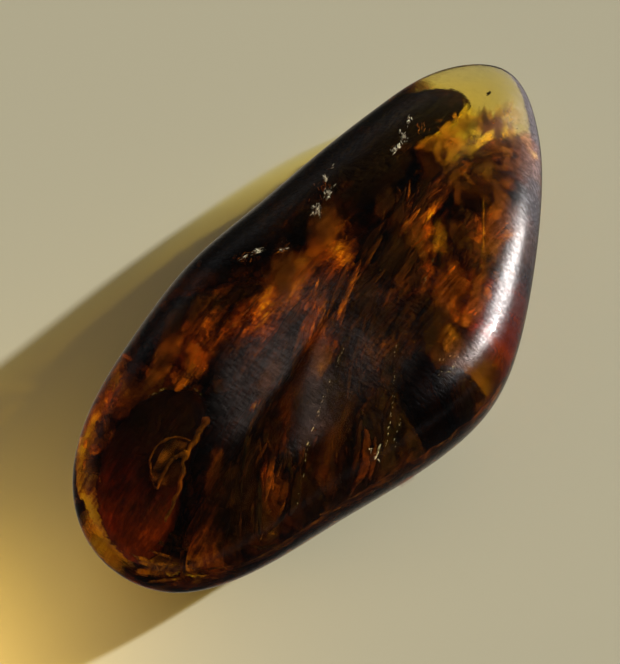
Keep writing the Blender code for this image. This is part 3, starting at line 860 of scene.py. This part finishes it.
# Clear places: middle x and y, half length and half width, turn in degrees, cover lost
CLEAR_PATCHES = [
    (29.0, 3.6, 6.0, 7.0, 0, 2.0), (23.8, 4.0, 3.4, 2.4, 20, 1.2), (12.4, -6.6, 2.4, 1.2, 30, 0.45),
    (20.4, 3.6, 2.4, 1.3, 20, 0.7), (24.0, -2.5, 2.6, 1.2, 25, 0.45)]


def cover_at(x, y):
    """Full cover less every clear patch's bell curve, with slow random hills added."""
    cover = 2.0 + 0.5 * hills(x, y, 5.0, 407, 3)
    for middle_x, middle_y, half_long, half_wide, degrees, lost in CLEAR_PATCHES:
        turn = math.radians(degrees)
        along = (x - middle_x) * math.cos(turn) + (y - middle_y) * math.sin(turn)
        across = (y - middle_y) * math.cos(turn) - (x - middle_x) * math.sin(turn)
        cover = cover - 2.0 * lost * np.exp(-((along / half_long) ** 2 + (across / half_wide) ** 2))
    return np.clip(cover, 0, 3)


def upper_bowl(x, y, share, flank):
    """Height over the middle level: the flank's lift times share ** 6, less the sag times 1 - share ** 4,
    with random waves."""
    waves = 0.35 * hills(x, y, 4.5, 403, 3, 2.0) * (1 - share ** 6)
    return middle_level(x) + FLANK_LIFT * flank * share ** 6 - UPPER_SAG * (1 - share ** 4) + waves


def lower_bowl(x, y, share, flank):
    """The resin's own underside, raised by one gap and by random waves."""
    return resin_walls(x, y)[2] + LOWER_GAP * (1 + 0.3 * hills(x, y, 3.5, 405, 3))


def make_bed(name, plan_share, height, seed, tone_added, rim_painted_light):
    """A thin bowl: two sheets over one outline, the lower one thickness under the upper one. Its tone
    rises towards the rim by the rim's number times share ** 12. This is painted light: the paler rim
    stands for the light that the rim of the real piece gathers and sends out."""
    outline = plan_share * pebble_outline(BED_SEGMENTS)
    outline += (0.2 * (hills(outline[:, 0], outline[:, 1], 2.5, seed, 3) - 0.6))[:, None] * outline / 16
    flank = flank_share(outline / plan_share)
    share = np.sin(np.arange(1, BED_RINGS + 1) / BED_RINGS * np.pi / 2)[:, None]
    x, y = outline[:, 0] * share, outline[:, 1] * share
    z = height(x, y, share, flank)
    thickness = BED_THICKNESS * (1 - share ** 8)
    sheets = np.stack([np.concatenate([x, x[::-1][1:]]), np.concatenate([y, y[::-1][1:]]),
                       np.concatenate([z, (z - thickness)[::-1][1:]])], -1)
    ends = [np.array([[0.0, 0.0, sheets[k, :, 2].mean()]]) for k in (0, -1)]
    # Painted light: the tone rises towards the rim, in place of the light that the rim gathers
    paler = rim_painted_light * share[:, 0] ** 12
    tones = tone_at(sheets[..., 0], sheets[..., 1], seed + 8) + tone_added
    tones = tones + np.concatenate([paler, paler[::-1][1:]])[:, None]
    bed = ring_mesh(name, sheets[None], *ends, tones)
    cover = cover_at(sheets[..., 0], sheets[..., 1]).ravel()
    add_values(bed, "cover", np.concatenate([cover[:1], cover, cover[-1:]]))
    return bed


# The last number of each bowl is painted light: a rise of tone at its rim that stands for gathered light
settle(make_bed("stained_bowl", UPPER_SHARE, upper_bowl, 401, 0.04, 0.12), RESIN_FILM, "leaf_litter")
settle(make_bed("stained_underside", LOWER_SHARE, lower_bowl, 431, 0.12, 0.34), RESIN_FILM, "leaf_litter")

# %% [markdown]
# ### Small films at every depth
#
# Smaller films hang between the sheets, one over the other, and they give the debris its depth: what
# lies under two films is darker than what lies under one.

# %% Small films at every depth
FILM_REGIONS = [
    (-4.0, 3.0, 12.2, 9.0, 2.6, 20, 1.0, 5), (-12.0, 8.6, 11.0, 6.0, 2.6, 10, 1.0, 4),
    (5.0, 0.0, 11.6, 8.0, 2.6, 15, 1.0, 4), (-10.0, -4.0, 12.8, 10.0, 4.0, 20, 0.6, 4),
    (3.0, -8.6, 10.0, 5.0, 2.0, 25, 1.5, 5), (-22.0, -3.0, 11.6, 6.0, 3.0, 20, 1.0, 4),
    (17.0, -1.0, 8.6, 4.0, 2.0, 5, 1.2, 4), (-6.0, -12.5, 8.0, 8.0, 1.4, -15, 1.5, 4),
    (12.0, -5.0, 9.0, 4.5, 2.0, 35, 1.5, 5)]
settle(drifted_flakes("resin_films", 60, FILM_REGIONS, (3.0, 9.0), (1.8, 3.6), 91, 0.03, 0.08, 0.25, 0.10,
                      bend=0.006, ragged=0.20, segments=28, steps=8, thickness=0.04), RESIN_FILM, "leaf_litter")

# %% [markdown]
# ### Swirls in the tip
#
# Towards the tip the resin still flowed when the debris came in, and it was stirred. The same films are
# bent more here, and each turns its own way, which reads as curls of brown in the gold.

# %% Swirls in the tip
SWIRL_REGIONS = [
    (23.2, 0.2, 7.4, 2.6, 1.4, 30, 1.4, 4), (20.8, -2.6, 7.0, 3.6, 1.8, 15, 1.6, 8), (17.0, 2.4, 8.0, 3.4, 1.2, 15, 1.2, 4),
    (15.0, -3.4, 8.0, 3.6, 2.0, 30, 1.6, 8), (12.6, -6.2, 7.6, 3.0, 1.4, 35, 1.2, 2), (21.8, 2.8, 7.0, 1.8, 1.0, 30, 1.0, 1)]
TIP_STAIN = film_material("tip_stain", 0.0, 1.15, 0.35)
settle(drifted_flakes("tip_swirls", 230, SWIRL_REGIONS, (0.9, 6.0), (1.8, 4.5), 121, 0.02, 0.17, 0.6, 0.35,
                      bend=0.09, ragged=0.35, segments=24, steps=6, thickness=0.03), TIP_STAIN, "leaf_litter")

# %% [markdown]
# ### Gold and ember films
#
# Where only a film of bark lies in clear resin, the light that it scatters has crossed amber twice, and
# it glows gold or, deeper down, orange. These films are placed one by one, for they are what the eye
# goes to first. Emission would glow too, but it would not darken in the shadow of the sheets.

# %% Gold and ember films
# Middle, length and width in mm, turn in degrees, cover and tone: gold in the tip, a thin bright line
# beside the fold, and gold low in the butt, which is painted light: these films stand for the light that
# the rim gathers and sends out there
GOLD_FILMS = [
    ((25.6, 0.6, 6.4), 6.0, 3.4, 15, 1.00, 0.96), ((22.4, 3.6, 6.8), 5.2, 3.0, 20, 1.05, 0.94),
    ((23.4, -0.4, 6.0), 6.0, 3.4, 30, 1.35, 0.94), ((19.6, 4.2, 7.4), 5.6, 2.6, 15, 1.1, 0.92),
    ((20.6, 1.6, 7.2), 4.6, 2.8, 40, 1.0, 0.94), ((18.0, 2.2, 8.2), 4.0, 2.2, 10, 0.8, 0.90),
    ((12.4, -6.4, 6.6), 4.2, 2.0, 30, 0.7, 0.94), ((-28.9, 5.0, 6.2), 6.0, 2.0, 68, 2.6, 0.98),
    ((-28.6, 5.6, 6.0), 3.8, 1.5, 70, 2.4, 0.96), ((8.8, -3.1, 9.8), 4.6, 1.5, 28, 0.8, 0.72),
    ((11.5, -5.9, 9.0), 7.6, 0.12, 31, 2.2, 0.96)]
# The same for the red-orange glow: along its band, in the butt's rim, and one red streak
EMBER_FILMS = [
    ((2.8, 5.0, 10.7), 6.4, 3.2, 15, 0.65, 0.72), ((-2.6, 5.3, 10.9), 7.6, 3.6, 5, 0.65, 0.68),
    ((-8.0, 5.9, 10.9), 7.0, 3.2, -5, 0.65, 0.72), ((-12.8, 7.4, 10.4), 5.4, 3.0, 10, 0.60, 0.74),
    ((-5.0, 1.2, 12.0), 7.4, 2.8, 25, 0.60, 0.58), ((-26.4, -4.6, 6.6), 5.0, 2.2, -35, 0.9, 0.70),
    ((-21.4, -6.8, 6.8), 5.6, 2.0, -25, 0.8, 0.66), ((-24.6, 10.0, 6.8), 6.0, 2.0, 35, 0.8, 0.68),
    ((-30.4, 0.8, 6.4), 4.4, 2.0, 90, 1.0, 0.72), ((-19.2, -3.9, 11.5), 3.8, 0.7, 24, 1.6, 0.62),
    ((5.0, -9.2, 7.8), 7.0, 3.6, 30, 1.2, 0.66), ((-27.6, -1.4, 6.8), 4.8, 2.4, -20, 1.3, 0.70),
    ((-12.0, -2.6, 12.6), 9.0, 3.0, 25, 0.5, 0.40)]
# The same for deep red resin, in the rim beside the black chip
RED_FILMS = [
    ((3.2, -11.3, 8.4), 9.0, 3.6, 26, 2.6, 0.66), ((-2.4, -12.4, 8.0), 7.0, 2.6, 0, 2.2, 0.60),
    ((1.0, -10.3, 7.4), 5.5, 2.8, 20, 2.2, 0.58), ((7.6, -9.6, 8.2), 6.0, 2.4, 32, 1.2, 0.62), ((-10.6, -12.0, 7.4), 8.0, 2.0, -20, 1.6, 0.58)]


def placed_films(name, rows, seed):
    """Films given row by row. Each row's cover multiplies the cover on its disc's points, itself raised
    to a power of 1.5 so that the edge fades sooner."""
    middles = np.array([film[0] for film in rows])
    lengths, widths, degrees, covers, tones = np.array([film[1:] for film in rows]).T
    rng = np.random.default_rng(seed)
    count = len(rows)
    films = flake_cloud(name, middles, lengths, widths, np.full(count, 0.04), np.radians(degrees),
                        0.12 * rng.normal(0, 1, (count, 2)), 0.01 * rng.normal(0, 1, count), tones,
                        seed + 1, 0.45, 48, 14)
    each = films.data.attributes["cover"].data
    cover = np.empty(len(each), np.float32)
    each.foreach_get("value", cover)
    cover = cover.reshape(count, -1) ** 1.5 * covers[:, None]
    each.foreach_set("value", cover.astype(np.float32).ravel())
    return films


settle(placed_films("gold_films", GOLD_FILMS, 151), film_material("gold_film", 0.0, 1.0, 0.25), "clear_resin")
settle(placed_films("ember_films", EMBER_FILMS, 161), film_material("ember_film", 0.02, 1.0, 0.5, 0.45), "clear_resin")
settle(placed_films("red_films", RED_FILMS, 171), film_material("red_film", 0.0, 1.0, 0.4, 0.95), "clear_resin")

# %% [markdown]
# ### Fibres along the rim
#
# Bark fibres were pressed along the edge of the flow, and the polished rim shows them as fine lines that
# follow the outline. Each fibre takes its turn from the outline at its own place. They could be hair
# curves, but closed slivers also catch light on their sides.

# %% Fibres along the rim
RIM_FIBRES = 1100


def rim_fibres(seed):
    """Long thin flakes laid along the rim: each is turned to the outline's own direction at its place."""
    rng = np.random.default_rng(seed)
    outline = pebble_outline(2000)
    pick = rng.integers(0, 2000, RIM_FIBRES)
    pick = pick[outline[pick, 0] < 16]
    along = np.roll(outline, -3, 0) - np.roll(outline, 3, 0)
    share = rng.uniform(0.80, 0.93, len(pick))
    plan = outline[pick] * share[:, None]
    flank = flank_share(outline[pick])
    z = middle_level(plan[:, 0]) + FLANK_LIFT * flank * share ** 6 + rng.uniform(-2.0, 1.2, len(pick))
    lengths = rng.uniform(0.8, 3.6, len(pick))
    middles = np.column_stack([plan, z])
    keep = well_inside(middles, 0.35 + 0.06 * lengths) & ~((middles[:, 0] < -26.5) & (middles[:, 1] > 2.5))
    middles, lengths, pick = middles[keep], lengths[keep], pick[keep]
    turns = np.arctan2(along[pick, 1], along[pick, 0]) + 0.12 * rng.normal(0, 1, len(pick))
    tones = tone_at(middles[:, 0], middles[:, 1]) + 0.02 + 0.06 * rng.normal(0, 1, len(pick))
    return flake_cloud("rim_fibres", middles, lengths, lengths * rng.uniform(0.08, 0.26, len(pick)),
                       np.full(len(pick), 0.05), turns, 0.3 * rng.normal(0, 1, (len(pick), 2)),
                       0.02 * rng.normal(0, 1, len(pick)), tones, seed + 1, 0.2)


settle(rim_fibres(131), film_material("fibre_film", 0.0, 2.2, 0.6), "leaf_litter")

# %% [markdown]
# ## The forked twig
#
# A thin twig with one fork lies over the bark scale. Each of its branches is a round profile carried
# along a smooth path, thick at the fork and thin at the end, with small knots that swell it.

# %% Twig
TWIG_HEIGHT, TWIG_SIDES, TWIG_STEPS = 12.25, 14, 60
TWIG_PATHS = [
    ([(-18.0, 3.3, 0.1), (-20.0, 3.0, 0.0), (-22.2, 2.7, 0.0), (-24.6, 1.6, 0.0), (-27.6, 1.0, -0.2)], 0.30, 0.12),
    ([(-21.4, 2.85, 0.0), (-22.8, 3.6, 0.0), (-24.6, 3.4, 0.0), (-25.6, 3.2, -0.1)], 0.22, 0.10),
    ([(-20.4, 3.2, 0.0), (-21.0, 4.6, 0.1), (-22.4, 5.3, 0.0), (-24.2, 4.9, -0.2), (-25.5, 3.4, -0.3)], 0.10, 0.07)]


def smooth_path(points, count):
    """Even steps along a Catmull-Rom curve: each stretch is a cubic of its two ends and neighbours."""
    points = np.array(points, float)
    points = np.vstack([2 * points[0] - points[1], points, 2 * points[-1] - points[-2]])
    t = np.linspace(0, len(points) - 3 - 1e-9, count)
    k = t.astype(int)
    t = (t - k)[:, None]
    before, start, end, after = (points[k + step] for step in range(4))
    return 0.5 * (2 * start + (end - before) * t + (2 * before - 5 * start + 4 * end - after) * t ** 2
                  + (3 * start - before - 3 * end + after) * t ** 3)


def tube_rings(path, radii, sides):
    """Circles round each point of a path, square to it: the radius times cosine and sine of an angle
    along two directions that stand square to the path."""
    along = np.gradient(path, axis=0)
    along /= np.linalg.norm(along, axis=1)[:, None]
    flat = np.cross(along, [0.0, 0.0, 1.0])
    flat /= np.linalg.norm(flat, axis=1)[:, None]
    raised = np.cross(flat, along)
    angle = np.linspace(0, 2 * np.pi, sides, endpoint=False)[None, :, None]
    return path[:, None] + radii[:, None, None] * (np.cos(angle) * flat[:, None] + np.sin(angle) * raised[:, None])


def make_twig():
    rings, firsts, lasts = [], [], []
    for number, (points, thick, thin) in enumerate(TWIG_PATHS):
        path = smooth_path(points, TWIG_STEPS)
        wander = hills(path[:, 0], path[:, 1], 1.6, 200 + number, 2)
        path = path + 0.06 * np.column_stack([wander, -wander, 0.5 * wander]) + [0, 0, TWIG_HEIGHT]
        step = np.linspace(0, 1, TWIG_STEPS)
        radii = (thick + (thin - thick) * step) * (1 + 0.25 * hills(path[:, 0], path[:, 1], 0.9, 210 + number, 2))
        rings.append(tube_rings(path, radii, TWIG_SIDES))
        firsts.append(path[0])
        lasts.append(path[-1])
    rings = np.array(rings)
    return ring_mesh("twig_branches", rings, np.array(firsts), np.array(lasts),
                     tone_at(rings[..., 0], rings[..., 1]))


settle(make_twig(), WOODS["pale_twig"], "pale_twig", "twig_fork")

# Corners of the thin brown skin between the twig and its loop, and how far it sags between them
SKIN_CORNERS = np.array([(-20.6, 3.3, 12.2), (-21.3, 5.0, 12.3), (-25.4, 4.4, 12.0), (-24.8, 1.8, 12.1)])
SKIN_SIDE, SKIN_SAG, SKIN_THICKNESS = 48, 0.35, 0.03


def make_skin():
    """A sheet between four corners: each point is the corners' mean weighted by its two shares, less a
    sag of the product of their sines, with small hills for creases."""
    u, v = np.meshgrid(np.linspace(0, 1, SKIN_SIDE), np.linspace(0, 1, SKIN_SIDE), indexing="ij")
    a, b, c, d = (SKIN_CORNERS[k][None, None] for k in range(4))
    u3, v3 = u[..., None], v[..., None]
    sheet = (1 - u3) * ((1 - v3) * a + v3 * b) + u3 * ((1 - v3) * d + v3 * c)
    creases = 0.05 * hills(sheet[..., 0], sheet[..., 1], 2.2, 221, 2)
    sheet[..., 2] -= SKIN_SAG * np.sin(np.pi * u) * np.sin(np.pi * v) - creases
    lower = sheet - [0, 0, SKIN_THICKNESS]
    rows = np.concatenate([sheet, lower[::-1]])
    count = np.arange(rows.shape[0] * SKIN_SIDE).reshape(rows.shape[:2])
    ahead, n = np.roll(count, -1, 0), SKIN_SIDE
    quads = np.stack([count[:, :-1], ahead[:, :-1], ahead[:, 1:], count[:, 1:]], -1).reshape(-1, 4)
    sides = [np.stack([count[:n - 1, k], count[2 * n - 1:n:-1, k], count[2 * n - 2:n - 1:-1, k], count[1:n, k]], -1)
             for k in (0, -1)]
    skin = solid("twig_skin", rows.reshape(-1, 3) * MM, [quads, sides[0][:, ::-1], sides[1]])
    add_values(skin, "tone", 0.34 + 0.14 * hills(rows[..., 0], rows[..., 1], 2.0, 223, 3))
    edge = np.minimum(1, 9 * np.sin(np.pi * u) * np.sin(np.pi * v))
    add_values(skin, "cover", 0.9 * np.concatenate([edge, edge[::-1]]))
    return skin


settle(make_skin(), film_material("twig_skin", 0.0, 1.4), "pale_twig")

# %% [markdown]
# ## Crumbs
#
# A few black crumbs hang alone in the pale tip, and one in the side window. They stand for the CAD
# crumbs one by one, and a dusting of finer ones is joined in one more piece.

# %% Crumbs
def crumb(name, middle, size, seed, *nodes):
    """One crumb: a ball whose radius is its size times 1 plus random hills over the sphere."""
    up_angle = (np.arange(1, 24) / 24 * np.pi)[:, None]
    around = np.linspace(0, 2 * np.pi, 36, endpoint=False)
    x, y, z = np.sin(up_angle) * np.cos(around), np.sin(up_angle) * np.sin(around), np.cos(up_angle) + 0 * around
    bumps = 1 + 0.35 * hills(x + z, y - 0.7 * z, 1.3, seed, 3)
    local = np.stack([x * size[0], y * size[1], z * size[2]], -1) * bumps[..., None]
    poles = [np.array([[middle[0], middle[1], middle[2] + sign * size[2]]]) for sign in (1, -1)]
    piece = ring_mesh(name, (local + middle)[None], *poles, np.full(local.shape[:2], 0.16))
    return settle(piece, WOODS["dark_bark"], "dark_bark", *nodes)


def node_middle(node):
    low, high = (np.array(corner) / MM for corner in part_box(node))
    return (low + high) / 2, (high - low) / 2


# Half length, width and height of each crumb as shares of its CAD solid's
CRUMB_SHAPES = ((0.36, 0.24, 0.24), (0.70, 0.30, 0.25), (0.9, 0.50, 0.5))
for number, node in enumerate(("crumb_tip", "crumb_pale", "crumb_side")):
    middle, half = node_middle(node)
    crumb(node + "_grain", middle, half * CRUMB_SHAPES[number], 300 + number, node)

DUST_REGIONS = [
    (24.0, 0.4, 6.6, 3.0, 2.4, 10, 1.6, 4), (20.5, -0.6, 6.4, 3.5, 2.8, 0, 1.6, 6), (12.5, -7.0, 6.8, 3.0, 2.0, 30, 1.4, 2),
    (17.0, 0.5, 7.8, 4.0, 2.6, 0, 1.6, 4)]
settle(drifted_flakes("tip_dust", 70, DUST_REGIONS, (0.15, 1.0), (1.2, 3.0), 101, -0.20, 0.10, 1.2, 0.8,
                      thickness=0.05, ragged=0.5), TIP_STAIN, "leaf_litter")

# %% [markdown]
# ## Cracks and flaws that catch the light
#
# Under the polish, hairline cracks run along the grain, and where air has come in they flash white.
# Each crack is a row of short slivers along a path, and each flaw a crumpled handful of them. Their
# flash is painted: a pale matt colour, in noisy flecks, stands for light mirrored in the air gap.

# %% Cracks and flaws
def glint_material():
    material = bpy.data.materials.new("painted_crack_glint")
    material.use_nodes = True
    tree = material.node_tree
    shader = tree.nodes["Principled BSDF"]
    place = tree.nodes.new("ShaderNodeTexCoord")
    noise = tree.nodes.new("ShaderNodeTexNoise")
    noise.inputs["Scale"].default_value = 2600.0
    tree.links.new(place.outputs["Object"], noise.inputs["Vector"])
    ramp = tree.nodes.new("ShaderNodeValToRGB")
    # Painted glint: the pale end of the ramp stands for light mirrored in a crack's air, given as a matt colour
    ramp.color_ramp.elements[0].position, ramp.color_ramp.elements[1].position = 0.40, 0.62
    ramp.color_ramp.elements[0].color = (0.05, 0.020, 0.008, 1)
    ramp.color_ramp.elements[1].color = (0.80, 0.78, 0.74, 1)
    tree.links.new(noise.outputs["Fac"], ramp.inputs["Fac"])
    tree.links.new(ramp.outputs["Color"], shader.inputs["Base Color"])
    shader.inputs["Roughness"].default_value = 0.25
    return material


GLINT = glint_material()
# Paths in the plan in mm, depth under the polish, slivers, and the longest sliver
CRACKS = [
    ([(-5.9, -2.8), (-8.0, -3.4), (-10.3, -4.0), (-13.2, -4.9), (-15.0, -5.3), (-17.7, -6.4), (-20.4, -7.2)], 3.4, 44, 0.40),
    ([(-3.6, -6.6), (-7.0, -8.6), (-9.2, -9.7), (-11.5, -10.5), (-14.2, -11.6), (-15.3, -11.4)], 2.6, 34, 0.36),
    ([(-9.3, -10.8), (-11.0, -11.3), (-12.6, -12.0)], 1.6, 12, 0.30),
    ([(6.0, -4.2), (4.6, -4.6), (2.8, -5.2)], 3.6, 10, 0.35),
    ([(-18.4, 8.8), (-17.2, 8.0), (-16.1, 6.7), (-16.0, 4.8)], 5.4, 30, 0.28),
    ([(-2.9, -9.7), (-1.9, -10.3), (-0.8, -11.0)], 4.2, 14, 0.30),
    ([(-1.1, -11.2), (-2.4, -11.3), (-3.8, -10.6)], 3.6, 18, 0.30)]
# Middle in the plan, half length, half width, turn in degrees, depth under the polish and slivers
FLAWS = [
    ((4.1, 7.0), 0.7, 0.45, 30, 0.45, 44), ((6.2, 7.2), 0.8, 0.35, 20, 0.45, 36), ((7.9, 8.6), 0.5, 0.25, 60, 0.45, 16),
    ((18.5, 6.4), 0.8, 0.20, 30, 0.45, 16), ((16.2, 5.5), 0.9, 0.35, 35, 0.45, 34), ((14.4, 5.3), 0.5, 0.35, 0, 0.45, 20),
    ((-2.7, 8.7), 0.8, 0.35, -40, 0.45, 34), ((-3.9, 9.4), 0.6, 0.20, -20, 0.45, 8), ((-1.5, 6.7), 0.5, 0.20, -40, 0.45, 8),
    ((9.5, 9.0), 0.4, 0.2, 0, 0.5, 4), ((-13.0, -10.6), 0.5, 0.5, 0, 1.6, 10)]
# The same for the amber chips round them
FLAW_CHIPS = [
    ((6.9, 8.3), 0.9, 0.6, 40, 0.6, 16), ((5.4, 7.6), 1.2, 0.8, 20, 0.7, 12), ((18.4, 5.0), 1.0, 0.6, 20, 0.7, 16),
    ((-3.6, 9.3), 1.4, 0.5, -20, 0.6, 16), ((-1.4, 6.8), 0.8, 0.5, -40, 0.6, 10)]


def sliver_cloud(name, cracks, flaws, length_range, seed, tone=1.0):
    """Slivers along every crack's path and in every flaw's oval, each a depth under the polish."""
    rng = np.random.default_rng(seed)
    plan, depth, lengths, turns, tilts = [], [], [], [], []
    for points, under, count, longest in cracks:
        path = smooth_path([(x, y, 0.0) for x, y in points], 200)
        pick = rng.integers(0, 199, count)
        heading = path[pick + 1] - path[pick]
        plan.append(path[pick, :2] + 0.05 * rng.normal(0, 1, (count, 2)))
        depth.append(np.full(count, under) + 0.1 * rng.normal(0, 1, count))
        lengths.append(longest * rng.uniform(0.3, 1.0, count))
        turns.append(np.arctan2(heading[:, 1], heading[:, 0]) + 0.2 * rng.normal(0, 1, count))
        tilts.append(0.5 * rng.normal(0, 1, (count, 2)))
    for middle, half_long, half_wide, degrees, under, count in flaws:
        turn = math.radians(degrees)
        along, across = half_long * rng.normal(0, 0.5, count), half_wide * rng.normal(0, 0.5, count)
        plan.append(np.column_stack([middle[0] + along * math.cos(turn) - across * math.sin(turn),
                                     middle[1] + along * math.sin(turn) + across * math.cos(turn)]))
        depth.append(under + 0.25 * rng.uniform(0, 1, count))
        lengths.append(rng.uniform(*length_range, count))
        turns.append(turn + 0.35 * rng.normal(0, 1, count))
        tilts.append(0.6 * rng.normal(0, 1, (count, 2)))
    plan, depth, lengths = np.concatenate(plan), np.concatenate(depth), np.concatenate(lengths)
    top = resin_walls(plan[:, 0], plan[:, 1])[1]
    middles = np.column_stack([plan, top - depth])
    widths = np.maximum(0.035, lengths * rng.uniform(0.06, 0.20, len(lengths)))
    return flake_cloud(name, middles, lengths, widths, np.full(len(lengths), 0.02), np.concatenate(turns),
                       np.concatenate(tilts), rng.normal(0, 0.2, len(lengths)), np.full(len(lengths), tone), seed + 1, 0.4, 10, 2)


settle(sliver_cloud("crack_glints", CRACKS, FLAWS, (0.2, 0.9), 111), GLINT, "clear_resin")
settle(sliver_cloud("flaw_chips", [], FLAW_CHIPS, (0.2, 0.8), 141, 0.46), WOODS["leaf_litter"], "leaf_litter")

# %% [markdown]
# ## Floor and light
#
# The piece lies on a pale floor. One low sun lights the debris through the far flank, and a large warm
# softbox fills its shadow. What the polish mirrors is painted in the world as a few soft streaks, each
# between two directions. Real softboxes would mirror too, but their hard edges show in a polished stone.

# %% Floor and lights
FLOOR_COLOUR = (0.545, 0.515, 0.400)
FLOOR_DROP = 0.03 * MM
FLOOR_HALF = 1.5


def add_floor():
    h = FLOOR_HALF
    corners = np.array([(-h, -h, -FLOOR_DROP), (h, -h, -FLOOR_DROP), (h, h, -FLOOR_DROP), (-h, h, -FLOOR_DROP)])
    floor = solid("floor", corners, [np.array([[0, 1, 2, 3]])])
    material = bpy.data.materials.new("floor")
    material.use_nodes = True
    shader = material.node_tree.nodes["Principled BSDF"]
    shader.inputs["Base Color"].default_value = (*FLOOR_COLOUR, 1)
    shader.inputs["Roughness"].default_value = 0.6
    floor.data.materials.append(material)
    # Seen and shadowed, but not mirrored: its mirror image would lay a grey veil over the dark flanks
    floor.visible_glossy = False


def direction(turn, rise):
    """The unit vector at an angle round from +X and an angle up, both in degrees."""
    turn, rise = math.radians(turn), math.radians(rise)
    return Vector((math.cos(turn) * math.cos(rise), math.sin(turn) * math.cos(rise), math.sin(rise)))


def place_light(lamp, away, distance):
    """Puts a lamp at a distance along a direction and turns it to face the piece. It lights the debris
    and isn't mirrored in the polish."""
    light = bpy.data.objects.new(lamp.name, lamp)
    light.location = away * distance
    light.rotation_mode = "QUATERNION"
    light.rotation_quaternion = away.to_track_quat("Z", "Y")
    light.visible_glossy = False
    bpy.context.scene.collection.objects.link(light)
    return light


def area_light(name, turn, rise, distance, size, power, colour):
    lamp = bpy.data.lights.new(name, "AREA")
    lamp.energy, lamp.color, lamp.size = power, colour, size
    return place_light(lamp, direction(turn, rise), distance)


def sun_light(turn, rise, width, strength, colour):
    lamp = bpy.data.lights.new("sun", "SUN")
    lamp.energy, lamp.color, lamp.angle = strength, colour, math.radians(width)
    return place_light(lamp, direction(turn, rise), 1.0)


add_floor()
SUN_TURN, SUN_RISE, SUN_WIDTH, SUN_STRENGTH, SUN_COLOUR = -34, 25, 2.0, 5.1, (1.0, 0.98, 0.86)
sun_light(SUN_TURN, SUN_RISE, SUN_WIDTH, SUN_STRENGTH, SUN_COLOUR)
area_light("sky", 110, 65, 0.9, 0.9, 1.04, (1.0, 0.82, 0.60))
rim_glow = area_light("gathered gold light", 166, 12, 0.056, 0.018, 0.008, (1.0, 0.68, 0.20))
rim_glow.visible_camera = rim_glow.visible_transmission = False


def soft_glow(tree, towards, start, end, half_wide):
    """A soft streak of light between two directions, each an angle round and an angle up: a bell
    curve of how far a direction lies along the streak and across it, and none behind."""
    first, last = direction(*start), direction(*end)
    middle = (first + last).normalized()
    along = (last - first).normalized()
    across = middle.cross(along).normalized()
    half_long = (last - first).length / 2

    def part(axis):
        node = tree.nodes.new("ShaderNodeVectorMath")
        node.operation = "DOT_PRODUCT"
        node.inputs[1].default_value = axis
        tree.links.new(towards, node.inputs[0])
        return node.outputs["Value"]

    squares = [maths(tree, "POWER", maths(tree, "DIVIDE", maths(tree, "ABSOLUTE", part(axis)), half), power)
               for axis, half, power in ((along, half_long, 4.0), (across, half_wide, 2.0))]
    bell = maths(tree, "EXPONENT", maths(tree, "MULTIPLY", maths(tree, "ADD", *squares), -1.0))
    return maths(tree, "MULTIPLY", bell, maths(tree, "GREATER_THAN", part(middle), 0.0))


BASE_LIGHT, HORIZON_LIGHT, HORIZON_HEIGHT = 0.015, 0.04, 0.16
# Start and end directions, half width as a sine, strength and colour of each soft light in the sky
SOFT_LIGHTS = [
    ((-19, 2), (-39, 43), 0.17, 12.0, (1.0, 0.97, 0.94)),
    ((-17, -8), (-44, 46), 0.25, 2.6, (1.0, 0.91, 0.90)),
    ((10, -36), (-22, -8), 0.30, 0.8, (1.0, 0.88, 0.90)),
    ((40, 54), (50, 84), 0.14, 0.50, (1.0, 0.80, 0.70)),
    ((34, -40), (34, -84), 0.38, 0.24, (1.0, 0.86, 0.62))]


def make_world():
    world = bpy.data.worlds.new("world")
    bpy.context.scene.world = world
    world.use_nodes = True
    # The streaks are only mirrored; the sun and the softbox light the debris and the floor
    world.cycles_visibility.diffuse = False
    tree = world.node_tree
    towards = tree.nodes.new("ShaderNodeTexCoord").outputs["Generated"]
    height = tree.nodes.new("ShaderNodeSeparateXYZ")
    tree.links.new(towards, height.inputs[0])
    low = maths(tree, "EXPONENT", maths(tree, "MULTIPLY", maths(
        tree, "POWER", maths(tree, "DIVIDE", maths(tree, "ABSOLUTE", height.outputs["Z"]), HORIZON_HEIGHT), 2.0), -1.0))
    strength = maths(tree, "ADD", maths(tree, "MULTIPLY", low, HORIZON_LIGHT), BASE_LIGHT)
    total = tree.nodes.new("ShaderNodeCombineXYZ")
    for k in range(3):
        tree.links.new(strength, total.inputs[k])
    total = total.outputs[0]
    for start, end, half_wide, power, colour in SOFT_LIGHTS:
        glow = soft_glow(tree, towards, start, end, half_wide)
        tint = tree.nodes.new("ShaderNodeVectorMath")
        tint.operation = "SCALE"
        tint.inputs[0].default_value = Vector(colour) * power
        tree.links.new(glow, tint.inputs["Scale"])
        both = tree.nodes.new("ShaderNodeVectorMath")
        tree.links.new(total, both.inputs[0])
        tree.links.new(tint.outputs[0], both.inputs[1])
        total = both.outputs[0]
    tree.links.new(total, tree.nodes["Background"].inputs["Color"])


make_world()
bpy.context.scene.view_settings.view_transform = "Standard"
bpy.context.scene.cycles.transparent_max_bounces = 24
